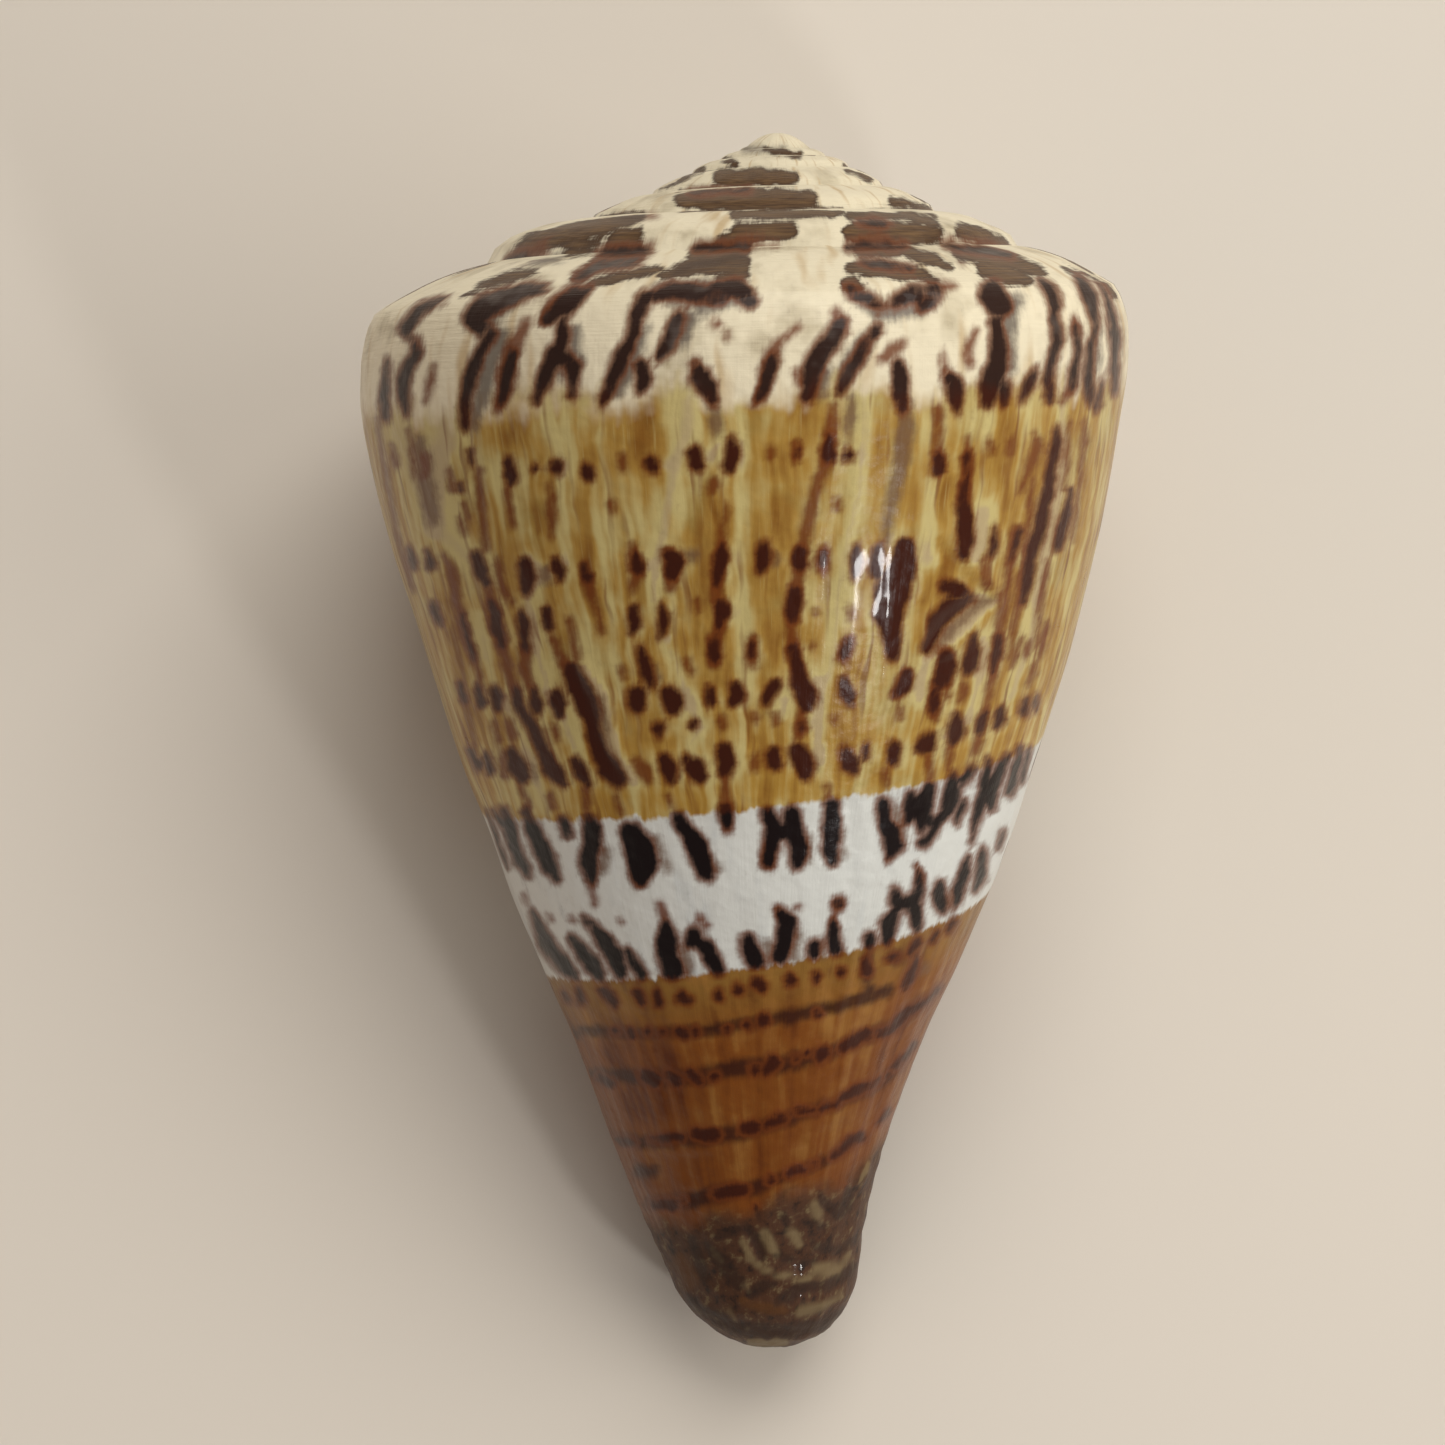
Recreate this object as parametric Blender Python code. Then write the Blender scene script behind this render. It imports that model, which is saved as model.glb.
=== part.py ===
"""A cone shell, lying on its aperture side, as one solid.

The shell is a sheet that grew round its axis. It is lofted here the way it grew: columns
are growth steps round the axis, and rows run from the suture over the ramp and the
shoulder down the side to the tip. Metres, +Z up, the spire towards +Y.
"""

import math

import bmesh
import bpy
from mathutils import Matrix, Vector

MM = 0.001

# Growth. An angle of 0 is the middle of the upper side, and growth runs towards -X.
COLUMNS_PER_TURN = 40
STEP = math.tau / COLUMNS_PER_TURN
LIP_ANGLE = math.radians(136)
APEX_TURNS = 6.2  # turns of the spire older than the last whorl
LUMEN_COLUMNS = 16  # how far the hollow runs in from the lip
LEFT, RIGHT = math.pi / 2, -math.pi / 2

# (radius, depth below the apex) in mm at the left side and each half turn back from it.
CREST_LINE = (
    (25.4, 11.3), (20.9, 9.2), (17.3, 6.8), (14.2, 6.1), (11.3, 5.0),
    (9.4, 4.3), (7.6, 3.5), (6.3, 2.9), (5.1, 2.2), (4.2, 1.8),
)
SUTURE_LINE = (
    (26.6, 12.7), (22.0, 10.2), (18.9, 8.6), (15.4, 7.2), (12.2, 5.8),
    (10.1, 5.0), (8.2, 4.1), (6.8, 3.4), (5.6, 2.7), (4.6, 2.2),
)
SPIRE_RATIO = 1.22  # growth in half a turn, older than the lines above

# (radius, depth) at the left side, (radius, depth) at the right side, in mm.
SIDE_ROWS = (
    ((27.0, 14.5), (22.5, 11.7)),
    ((27.1, 15.8), (22.6, 13.1)),
    ((27.1, 18.0), (22.5, 15.5)),
    ((26.5, 21.5), (22.0, 19.2)),
    ((25.0, 27.5), (21.0, 24.9)),
    ((23.5, 32.2), (20.1, 29.1)),
    ((22.1, 36.6), (19.1, 33.2)),
    ((20.5, 41.5), (17.8, 37.5)),
    ((19.1, 45.0), (16.8, 40.7)),
    ((17.3, 50.1), (15.4, 45.3)),
    ((15.0, 55.4), (13.4, 50.4)),
    ((13.5, 58.8), (12.0, 53.8)),
    ((12.2, 62.1), (10.4, 57.3)),
    ((10.6, 66.4), (8.6, 62.0)),
)
# As SIDE_ROWS, then how much narrower and shorter the row is on the old side, by the
# columella, and how much wider and shorter it is at the lip, where the canal is open.
TIP_ROWS = (
    ((8.9, 70.7), (7.1, 66.8), (0.22, 0.6), (0.0, 0.0)),
    ((7.2, 74.5), (6.0, 71.8), (0.34, 1.6), (0.1, 0.1)),
    ((6.0, 77.0), (5.5, 75.8), (0.46, 3.0), (0.6, 0.3)),
    ((4.0, 78.9), (4.1, 78.5), (0.50, 4.2), (1.9, 0.8)),
    ((2.3, 79.8), (2.4, 79.6), (0.50, 5.1), (3.2, 1.2)),
)
RAMP_STEPS = (0.10, 0.34, 0.60, 0.84)
RAMP_BULGE = 0.05  # of the ramp's width
SHOULDER_BULGE = 0.12  # of the way from the crest to the suture line

LIP_WALL, INNER_WALL = 1.1, 2.1  # mm thick
WALL_GROWS_IN = math.radians(50)

# The rows of the sheet, counted from the suture.
CREST = 1 + len(RAMP_STEPS)
ATTACH = CREST + 2  # where the next whorl is laid on
LUMEN_TOP = ATTACH + 2
TIP = ATTACH + len(SIDE_ROWS) + len(TIP_ROWS)
LINED_FROM = 3  # the first row of the ramp that is clear of the old whorl
LINED_ROWS = tuple(range(LINED_FROM, TIP + 1))  # rows that the hollow's outer wall follows

# How the shell lies: the spire end is raised, and it leans a little on its lip.
RAISED = math.radians(15.2)
LEAN = math.radians(1.9)
WORN = 0.25 * MM  # what the surface has rubbed off where the shell touches it
CREASE = math.radians(40)  # edges sharper than this are shaded as edges


def half_turns_back(angle):
    """How many half turns of growth older than the left side an angle is."""
    return (LEFT - angle) / math.pi


def on_line(line, angle):
    """(radius, depth) of a spiral line at an angle."""
    back = half_turns_back(angle)
    last = len(line) - 1
    if back >= last:
        shrink = SPIRE_RATIO ** (last - back)
        return line[last][0] * shrink, line[last][1] * shrink
    low = max(0, math.floor(back))
    part = back - low
    (r0, d0), (r1, d1) = line[low], line[low + 1]
    return r0 * (r1 / r0) ** part, d0 + (d1 - d0) * part


def grown(left, right, angle):
    """(radius, depth) of a row of the last whorl, from its two sides."""
    grown_by = (angle - RIGHT) / math.pi
    radius = right[0] * (left[0] / right[0]) ** grown_by
    return radius, right[1] + (left[1] - right[1]) * grown_by


def eased(value):
    value = min(1.0, max(0.0, value))
    return value * value * (3 - 2 * value)


def tip_point(row, angle):
    left, right, (narrower, shorter), (wider, drawn_in) = row
    radius, depth = grown(left, right, angle)
    old = eased((RIGHT - angle) / (RIGHT - LIP_ANGLE + math.tau))
    new = eased((angle - LEFT) / (LIP_ANGLE - LEFT))
    radius = radius * (1 - narrower * old) + wider * new
    return radius, depth - shorter * old - drawn_in * new


def profile(angle):
    """The sheet's rows at one angle, as (radius, depth) from the suture to the tip."""
    suture = on_line(SUTURE_LINE, angle - math.tau)
    crest = on_line(CREST_LINE, angle)
    attach = on_line(SUTURE_LINE, angle)
    width = crest[0] - suture[0]
    rows = [suture]
    for part in RAMP_STEPS:
        lift = RAMP_BULGE * width * math.sin(math.pi * part)
        radius = suture[0] + width * part
        rows.append((radius, suture[1] + (crest[1] - suture[1]) * part - lift))
    rows.append(crest)
    out, down = attach[0] - crest[0], attach[1] - crest[1]
    rows.append((
        crest[0] + out / 2 + SHOULDER_BULGE * down,
        crest[1] + down / 2 - SHOULDER_BULGE * out,
    ))
    rows.append(attach)
    rows += [grown(left, right, angle) for left, right in SIDE_ROWS]
    rows += [tip_point(row, angle) for row in TIP_ROWS]
    return rows


def inner_profile(angle):
    """The outer wall's inside at one angle: the same rows, moved in by the wall."""
    rows = profile(angle)
    wall = LIP_WALL + (INNER_WALL - LIP_WALL) * eased((LIP_ANGLE - angle) / WALL_GROWS_IN)
    inside = {}
    for row in LINED_ROWS:
        before, after = rows[row - 1], rows[min(row + 1, TIP)]
        along = Vector((after[0] - before[0], after[1] - before[1])).normalized()
        inside[row] = (rows[row][0] - wall * along.y, rows[row][1] + wall * along.x)
    return inside


def place(point, angle):
    """A point of a profile in the shell's own frame, apex at the origin, axis along Y."""
    radius, depth = point
    return Vector((-radius * math.sin(angle), -depth, radius * math.cos(angle))) * MM


class Sheet:
    """The mesh, with its vertices found by column and row."""

    def __init__(self):
        self.mesh = bmesh.new()
        self.outer = {}
        self.inner = {}
        self.lip = round((APEX_TURNS + 1) * COLUMNS_PER_TURN)
        self.last_whorl = self.lip - COLUMNS_PER_TURN

    def angle(self, column):
        return LIP_ANGLE - (self.lip - column) * STEP

    def add(self, point):
        return self.mesh.verts.new(point)

    def face(self, corners):
        distinct = list(dict.fromkeys(corners))
        return self.mesh.faces.new(distinct)

    def strip(self, first, second):
        """Quads between two equally long runs of vertices."""
        for a, b, c, d in zip(first, first[1:], second[1:], second):
            self.face((a, b, c, d))


def add_points(sheet):
    apex = sheet.add((0, 0, 0))
    for column in range(sheet.lip + 1):
        angle = sheet.angle(column)
        rows = profile(angle)
        below = column - COLUMNS_PER_TURN
        sheet.outer[column, 0] = sheet.outer[below, ATTACH] if below >= 0 else apex
        in_lumen = sheet.last_whorl - LUMEN_COLUMNS <= column < sheet.last_whorl
        for row in range(1, TIP + 1):
            seen = row <= ATTACH or column >= sheet.last_whorl
            if seen or (in_lumen and row >= LUMEN_TOP):
                sheet.outer[column, row] = sheet.add(place(rows[row], angle))
    for column in range(sheet.lip - LUMEN_COLUMNS, sheet.lip + 1):
        angle = sheet.angle(column)
        below = column - COLUMNS_PER_TURN
        sheet.inner[column, LINED_ROWS[0] - 1] = sheet.outer[below, LUMEN_TOP]
        for row, point in inner_profile(angle).items():
            sheet.inner[column, row] = sheet.add(place(point, angle))


def run(points, column, first, last):
    return [points[column, row] for row in range(first, last + 1)]


def add_outside(sheet):
    """The spire and the last whorl, one spiral strip of columns."""
    for column in range(sheet.lip):
        last = TIP if column >= sheet.last_whorl else ATTACH
        # The one gap in the first row is where the sheet's first column closes, below.
        first = 1 if column == COLUMNS_PER_TURN - 1 else 0
        sheet.strip(
            run(sheet.outer, column, first, last), run(sheet.outer, column + 1, first, last)
        )
    # The first column closes against the turn that lies on it.
    opening = run(sheet.outer, 0, 0, ATTACH)
    beside = [sheet.outer[COLUMNS_PER_TURN, 1], sheet.outer[COLUMNS_PER_TURN - 1, 1]]
    sheet.face(opening + beside)


def add_hollow(sheet):
    """The walls of the aperture and of the hollow behind it."""
    top = LINED_ROWS[0] - 1
    deep = sheet.lip - LUMEN_COLUMNS
    for column in range(deep, sheet.lip):
        below = column - COLUMNS_PER_TURN
        sheet.strip(
            run(sheet.outer, below, LUMEN_TOP, TIP), run(sheet.outer, below + 1, LUMEN_TOP, TIP)
        )
        sheet.strip(run(sheet.inner, column, top, TIP), run(sheet.inner, column + 1, top, TIP))
        sheet.face((
            sheet.outer[column, TIP], sheet.outer[column + 1, TIP],
            sheet.inner[column + 1, TIP], sheet.inner[column, TIP],
        ))
    end = run(sheet.outer, deep - COLUMNS_PER_TURN, LUMEN_TOP, TIP)
    sheet.face(end + run(sheet.inner, deep, top + 1, TIP)[::-1])


def add_lip(sheet):
    """The edge of the outer wall, from its root on the old whorl to the tip."""
    top = LINED_ROWS[0] - 1
    edge = run(sheet.outer, sheet.lip, 0, top)
    root = run(sheet.outer, sheet.last_whorl, ATTACH, LUMEN_TOP)
    sheet.face(edge[::-1] + root[1:])
    sheet.strip(run(sheet.outer, sheet.lip, top, TIP), run(sheet.inner, sheet.lip, top, TIP))


def add_columella_end(sheet):
    deep = sheet.lip - LUMEN_COLUMNS
    ring = [sheet.outer[c, TIP] for c in range(deep - COLUMNS_PER_TURN, deep + 1)]
    ring.append(sheet.inner[deep, TIP])
    middle = sheet.add(sum((vert.co for vert in ring), Vector()) / len(ring))
    for a, b in zip(ring, ring[1:] + ring[:1]):
        sheet.face((a, b, middle))


def lie_down(mesh):
    """Turn the shell onto its aperture side and rub flat what would stand in the surface."""
    turn = Matrix.Rotation(RAISED, 4, "X") @ Matrix.Rotation(LEAN, 4, "Y")
    bmesh.ops.transform(mesh, matrix=turn, verts=mesh.verts)
    lowest = min(vert.co.z for vert in mesh.verts)
    for vert in mesh.verts:
        vert.co.z = max(0.0, vert.co.z - lowest - WORN)
    xs = [vert.co.x for vert in mesh.verts]
    ys = [vert.co.y for vert in mesh.verts]
    middle = Vector(((min(xs) + max(xs)) / 2, (min(ys) + max(ys)) / 2, 0))
    bmesh.ops.translate(mesh, vec=-middle, verts=mesh.verts)


def shell_material():
    material = bpy.data.materials.new("shell")
    material.use_nodes = True
    look = material.node_tree.nodes["Principled BSDF"]
    look.inputs["Base Color"].default_value = (0.42, 0.24, 0.07, 1)
    look.inputs["Roughness"].default_value = 0.25
    look.inputs["Metallic"].default_value = 0.0
    return material


def make_shell(collection):
    sheet = Sheet()
    add_points(sheet)
    add_outside(sheet)
    add_hollow(sheet)
    add_lip(sheet)
    add_columella_end(sheet)
    bmesh.ops.recalc_face_normals(sheet.mesh, faces=sheet.mesh.faces)
    lie_down(sheet.mesh)
    data = bpy.data.meshes.new("shell")
    sheet.mesh.to_mesh(data)
    sheet.mesh.free()
    data.shade_smooth()
    data.set_sharp_from_angle(angle=CREASE)
    data.materials.append(shell_material())
    collection.objects.link(bpy.data.objects.new("shell", data))


def main():
    for obj in list(bpy.data.objects):
        bpy.data.objects.remove(obj)
    collection = bpy.data.collections.new("cone shell")
    bpy.context.scene.collection.children.link(collection)
    make_shell(collection)


main()
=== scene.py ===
import math

import bpy
import numpy as np
from mathutils import Matrix, Vector
from mathutils.kdtree import KDTree


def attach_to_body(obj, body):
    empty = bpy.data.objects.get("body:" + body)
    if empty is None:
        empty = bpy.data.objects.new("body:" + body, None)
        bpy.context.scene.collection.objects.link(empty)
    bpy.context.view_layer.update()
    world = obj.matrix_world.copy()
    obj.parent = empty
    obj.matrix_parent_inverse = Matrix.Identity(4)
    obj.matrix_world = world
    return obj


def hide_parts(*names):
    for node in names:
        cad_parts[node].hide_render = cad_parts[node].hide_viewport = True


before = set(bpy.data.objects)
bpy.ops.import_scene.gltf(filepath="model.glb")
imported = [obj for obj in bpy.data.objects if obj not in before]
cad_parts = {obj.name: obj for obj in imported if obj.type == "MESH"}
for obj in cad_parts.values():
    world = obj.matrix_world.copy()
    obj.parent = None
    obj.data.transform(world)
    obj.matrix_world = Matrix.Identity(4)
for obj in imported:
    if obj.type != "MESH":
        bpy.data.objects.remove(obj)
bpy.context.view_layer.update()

mm = 0.001

# How the shell grew: (radius, depth below the apex) in mm at the left side and at each half
# turn back from it, then the growth of half a turn in what is older.
growth = {
    "crestLine": (
        (25.4, 11.3), (20.9, 9.2), (17.3, 6.8), (14.2, 6.1), (11.3, 5.0),
        (9.4, 4.3), (7.6, 3.5), (6.3, 2.9), (5.1, 2.2), (4.2, 1.8),
    ),
    "sutureLine": (
        (26.6, 12.7), (22.0, 10.2), (18.9, 8.6), (15.4, 7.2), (12.2, 5.8),
        (10.1, 5.0), (8.2, 4.1), (6.8, 3.4), (5.6, 2.7), (4.6, 2.2),
    ),
    "olderRatio": 1.22,
    "sideRows": (  # left side, right side
        ((27.0, 14.5), (22.5, 11.7)),
        ((27.1, 15.8), (22.6, 13.1)),
        ((27.1, 18.0), (22.5, 15.5)),
        ((26.5, 21.5), (22.0, 19.2)),
        ((25.0, 27.5), (21.0, 24.9)),
        ((23.5, 32.2), (20.1, 29.1)),
        ((22.1, 36.6), (19.1, 33.2)),
        ((20.5, 41.5), (17.8, 37.5)),
        ((19.1, 45.0), (16.8, 40.7)),
        ((17.3, 50.1), (15.4, 45.3)),
        ((15.0, 55.4), (13.4, 50.4)),
        ((13.5, 58.8), (12.0, 53.8)),
        ((12.2, 62.1), (10.4, 57.3)),
        ((10.6, 66.4), (8.6, 62.0)),
    ),
    "tipRows": (  # and how much narrower and shorter it is by the columella, wider at the lip
        ((8.9, 70.7), (7.1, 66.8), (0.22, 0.6), (0.0, 0.0)),
        ((7.2, 74.5), (6.0, 71.8), (0.34, 1.6), (0.1, 0.1)),
        ((6.0, 77.0), (5.5, 75.8), (0.46, 3.0), (0.6, 0.3)),
        ((4.0, 78.9), (4.1, 78.5), (0.50, 4.2), (1.9, 0.8)),
        ((2.3, 79.8), (2.4, 79.6), (0.50, 5.1), (3.2, 1.2)),
    ),
    "rampSteps": (0.10, 0.34, 0.60, 0.84),
    "rampBulge": 0.05,
    "shoulderBulge": 0.12,
    "lipAngle": math.radians(136),
    "turnsOfSpire": 6.2,
    "raised": math.radians(15.2),  # how it lies
    "lean": math.radians(1.9),
}
left, right = math.pi / 2, -math.pi / 2
rampRows = 1 + len(growth["rampSteps"])  # the crest's row
attachRow = rampRows + 2
rootRow = attachRow + 2

# The mesh. Steps are degrees on the upper side and on the underside.
grid = {
    "upperStep": 0.8,
    "underStep": 1.6,
    "upperReach": 88,
    "spireRows": 10,
    "bodyRowStep": 0.425,  # mm
    "insideStep": math.radians(6),
    "insideArc": math.radians(144),
    "lipWall": 1.1,
    "innerWall": 2.1,
    "wallGrowsIn": math.radians(50),
    "linedFrom": 4.0,  # mm from the suture
    "lipRounding": 0.5,
    "lipEndsOver": 1.5,  # mm in which the lip's edge turns into the tip's
    "blendOver": 1.2,  # mm in which low relief fades out at a seam
    "joined": 5e-7,  # metres
}


def eased(value):
    value = np.clip(value, 0.0, 1.0)
    return value * value * (3 - 2 * value)


def smoothAlong(values, place):  # a smooth curve through evenly spaced values
    low = np.clip(np.floor(place).astype(int), 1, len(values) - 3)
    t = (place - low)[:, None]
    a, b, c, d = (values[low + k] for k in (-1, 0, 1, 2))
    return 0.5 * (2 * b + (c - a) * t + (2 * a - 5 * b + 4 * c - d) * t**2
                  + (3 * b - a - 3 * c + d) * t**3)


def alongLine(line, angles):  # (radius, depth) of a spiral line at each angle
    known = np.array(line)
    older = known[-1] / growth["olderRatio"] ** np.arange(1, 24)[:, None]
    newer = known[0] ** 2 / known[1]
    values = np.log(np.vstack((newer * newer / known[0], newer, known, older)))
    return np.exp(smoothAlong(values, (left - angles) / math.pi + 2))


def grown(leftPoint, rightPoint, angles):
    part = (angles - right) / math.pi
    radius = rightPoint[0] * (leftPoint[0] / rightPoint[0]) ** part
    return np.stack((radius, rightPoint[1] + (leftPoint[1] - rightPoint[1]) * part), 1)


def tipPoints(row, angles):
    leftPoint, rightPoint, (narrower, shorter), (wider, drawnIn) = row
    points = grown(leftPoint, rightPoint, angles)
    old = eased((right - angles) / (right - growth["lipAngle"] + math.tau))
    new = eased((angles - left) / (growth["lipAngle"] - left))
    points[:, 0] = points[:, 0] * (1 - narrower * old) + wider * new
    points[:, 1] -= shorter * old + drawnIn * new
    return points


def profiles(angles):  # the control rows at each angle: (angle, row, radius and depth)
    angles = np.atleast_1d(np.asarray(angles, float))
    suture = alongLine(growth["sutureLine"], angles - math.tau)
    crest = alongLine(growth["crestLine"], angles)
    attach = alongLine(growth["sutureLine"], angles)
    rows = [suture]
    for part in growth["rampSteps"]:
        row = suture + (crest - suture) * part
        row[:, 1] -= growth["rampBulge"] * (crest - suture)[:, 0] * math.sin(math.pi * part)
        rows.append(row)
    rows.append(crest)
    step = attach - crest
    rows.append(crest + step / 2 + growth["shoulderBulge"] * step[:, ::-1] * (1, -1))
    rows.append(attach)
    rows += [grown(*row, angles) for row in growth["sideRows"]]
    rows += [tipPoints(row, angles) for row in growth["tipRows"]]
    return np.stack(rows, 1)


# A row's measure is its distance in mm from the suture along the left side.
leftProfile = profiles([left])[0]
rowMeasure = np.concatenate(
    ([0], np.cumsum(np.linalg.norm(np.diff(leftProfile, axis=0), axis=1)))
)
attachMeasure, rootMeasure, tipMeasure = rowMeasure[[attachRow, rootRow, -1]]


def rowWeights(measures):  # how much each control row counts at each fine row
    weights = np.zeros((len(measures), len(rowMeasure)))
    slopes = np.zeros((len(rowMeasure), len(rowMeasure)))
    for k in range(len(rowMeasure)):
        low, high = max(k - 1, 0), min(k + 1, len(rowMeasure) - 1)
        slopes[k, high] += 1 / (rowMeasure[high] - rowMeasure[low])
        slopes[k, low] -= 1 / (rowMeasure[high] - rowMeasure[low])
    at = np.clip(np.searchsorted(rowMeasure, measures, side="right") - 1, 0, len(rowMeasure) - 2)
    for n, (measure, k) in enumerate(zip(measures, at)):
        width = rowMeasure[k + 1] - rowMeasure[k]
        t = (measure - rowMeasure[k]) / width
        weights[n, k] += 2 * t**3 - 3 * t**2 + 1
        weights[n, k + 1] += 3 * t**2 - 2 * t**3
        weights[n] += width * (t**3 - 2 * t**2 + t) * slopes[k]
        weights[n] += width * (t**3 - t**2) * slopes[k + 1]
    return weights


def sheetProfile(angles, measures):  # (row, angle, radius and depth)
    return np.einsum("rk,akc->rac", rowWeights(measures), profiles(angles))


def placed(profile, angles):  # in the shell's own frame: apex at 0, axis along Y
    radius, depth = profile[..., 0], profile[..., 1]
    return np.stack((-radius * np.sin(angles), -depth, radius * np.cos(angles)), -1)


# Where the shell lies in the frame: turned onto its aperture, its apex where the solid has it.
turn = Matrix.Rotation(growth["raised"], 3, "X") @ Matrix.Rotation(growth["lean"], 3, "Y")
axisWay = turn @ Vector((0, 1, 0))
apexPlace = max((vert.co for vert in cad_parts["shell"].data.vertices), key=axisWay.dot)
turnArray = np.array(turn)


def lying(points):
    return points * mm @ turnArray.T + np.array(apexPlace)


print("the growth curves are read")

# The camera looks down on the back of the shell, from where the photograph was taken.
camera = {
    "pixels": 1445,  # the picture's width and height
    "film": 36,  # mm
    "pixelsPerMm": 15.2,
    "distance": 235.0,  # mm
    "tilt": math.radians(5.5),  # the apex end leans towards the camera
    "roll": math.radians(0.2),
    "aside": 3.45,  # mm from the picture's middle to the shell's axis
    "depth": 38.35,  # mm from the apex to the picture's middle
}


def cameraWays():
    tilt, roll = camera["tilt"], camera["roll"]
    across = np.array((math.cos(roll), math.sin(roll), 0))
    up = np.array((-math.sin(roll) * math.cos(tilt), math.cos(roll) * math.cos(tilt), -math.sin(tilt)))
    back = np.cross(across, up)
    middle = np.array((0, -camera["depth"], 0)) - camera["aside"] * across
    return across, up, back, middle


def seenAt(points):  # the pixel at which the camera sees each point of the shell's own frame
    across, up, back, middle = cameraWays()
    offset = points - middle
    scale = camera["pixelsPerMm"] * camera["distance"] / (camera["distance"] - offset @ back)
    half = camera["pixels"] / 2
    return half + scale * (offset @ across), half - scale * (offset @ up)


def makeCamera():
    across, up, back, middle = cameraWays()
    spot = lying(middle + back * camera["distance"])
    axes = np.stack((across, up, back), 1)
    data = bpy.data.cameras.new("camera")
    data.sensor_width = camera["film"]
    data.lens = camera["film"] * camera["pixelsPerMm"] * camera["distance"] / camera["pixels"]
    data.clip_start = 0.01
    item = bpy.data.objects.new("camera", data)
    item.matrix_world = Matrix.Translation(spot) @ Matrix(turnArray @ axes).to_4x4()
    bpy.context.scene.collection.objects.link(item)
    bpy.context.scene.camera = item


makeCamera()
print("the camera is placed")


# Random but repeatable unevenness.
def softNoise(across, down, seed):
    table = np.random.default_rng(seed).uniform(-1, 1, (64, 64))
    x, y = np.floor(across).astype(int), np.floor(down).astype(int)
    partX, partY = eased(across - x), eased(down - y)
    upper = table[x % 64, y % 64] * (1 - partX) + table[(x + 1) % 64, y % 64] * partX
    lower = table[x % 64, (y + 1) % 64] * (1 - partX) + table[(x + 1) % 64, (y + 1) % 64] * partX
    return upper * (1 - partY) + lower * partY


# The sheets that make the shell, each a grid of points: its rows run round the spiral.
def stepAngles(first, last):  # closer together on the upper side
    reach = grid["upperReach"]
    upper = np.arange(0, reach, grid["upperStep"])
    under = np.arange(reach, 360 - reach, grid["underStep"])
    steps = np.radians(np.concatenate((upper, under, upper + 360 - reach)))
    turns = range(math.floor(first / math.tau) - 1, math.ceil(last / math.tau) + 1)
    every = np.concatenate([steps + math.tau * n for n in turns])
    return every[(every > first - 1e-6) & (every < last + 1e-6)]


lip = growth["lipAngle"]
start = lip - math.tau  # where the last whorl starts
deep = lip - grid["insideArc"]
bodySteps = round((tipMeasure - attachMeasure) / grid["bodyRowStep"])
measures = np.concatenate((
    np.linspace(0, attachMeasure, grid["spireRows"] + 1),
    np.linspace(attachMeasure, tipMeasure, bodySteps + 1)[1:],
))
attachIndex = grid["spireRows"]
rootIndex = int(np.argmin(abs(measures - rootMeasure)))
linedIndex = int(np.searchsorted(measures, grid["linedFrom"])) - 1
foldSteps = rootIndex - attachIndex
bodyAngles = stepAngles(start, lip)
spireAngles = stepAngles(lip - (growth["turnsOfSpire"] + 1) * math.tau, start)
insideAngles = np.linspace(deep, lip, round(grid["insideArc"] / grid["insideStep"]) + 1)
rimAngles = bodyAngles[bodyAngles > deep - 1e-6]


def tangents(angles):  # the way the shell grew, at each angle
    return np.stack((-np.cos(angles), np.zeros_like(angles), -np.sin(angles)), -1)


def normalsOf(points):
    along = np.gradient(points, axis=1)
    down = np.gradient(points, axis=0)
    normals = np.cross(along, down)
    return normals / np.maximum(np.linalg.norm(normals, axis=-1, keepdims=True), 1e-9)


def insideProfile(angles):  # the outer wall's inside: the same rows, moved in by the wall
    outer = sheetProfile(angles, measures)
    wall = grid["lipWall"] + (grid["innerWall"] - grid["lipWall"]) * eased(
        (lip - angles) / grid["wallGrowsIn"]
    )
    along = np.gradient(outer, axis=0)
    along /= np.linalg.norm(along, axis=-1, keepdims=True)
    inner = outer + wall[None, :, None] * along[..., ::-1] * (-1, 1)
    inner[linedIndex] = sheetProfile(angles - math.tau, measures[[rootIndex]])[0]
    return inner


unpainted = {"sheet": 0, "inside": 0, "dark": -1, "rust": -1, "grey": -1, "brown": -1, "tint": 0}


def makeSheet(name, points, layers):
    rows, columns = points.shape[:2]
    bpy.ops.object.select_all(action="DESELECT")
    bpy.ops.mesh.primitive_grid_add(x_subdivisions=columns - 1, y_subdivisions=rows - 1, size=1)
    piece = bpy.context.object
    piece.name = name
    mesh = piece.data
    mesh.vertices.foreach_set("co", resting(points).reshape(-1).astype(np.float32))
    corners = np.zeros(len(mesh.loops), np.int32)
    mesh.loops.foreach_get("vertex_index", corners)
    wrap = np.stack((layers["turn"], layers["measure"] / 100), -1).reshape(-1, 2)
    mesh.uv_layers.active.name = "growth"
    mesh.uv_layers.active.data.foreach_set("uv", wrap[corners].reshape(-1).astype(np.float32))
    for key in unpainted:
        values = np.broadcast_to(layers.get(key, unpainted[key]), points.shape[:2]).reshape(-1)
        layer = mesh.attributes.new(key, "FLOAT", "CORNER")
        layer.data.foreach_set("value", values[corners].astype(np.float32))
    return piece


def resting(points):  # rubbed flat where the shell lies
    places = lying(points)
    places[..., 2] = np.maximum(places[..., 2], 0)
    return places


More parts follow.
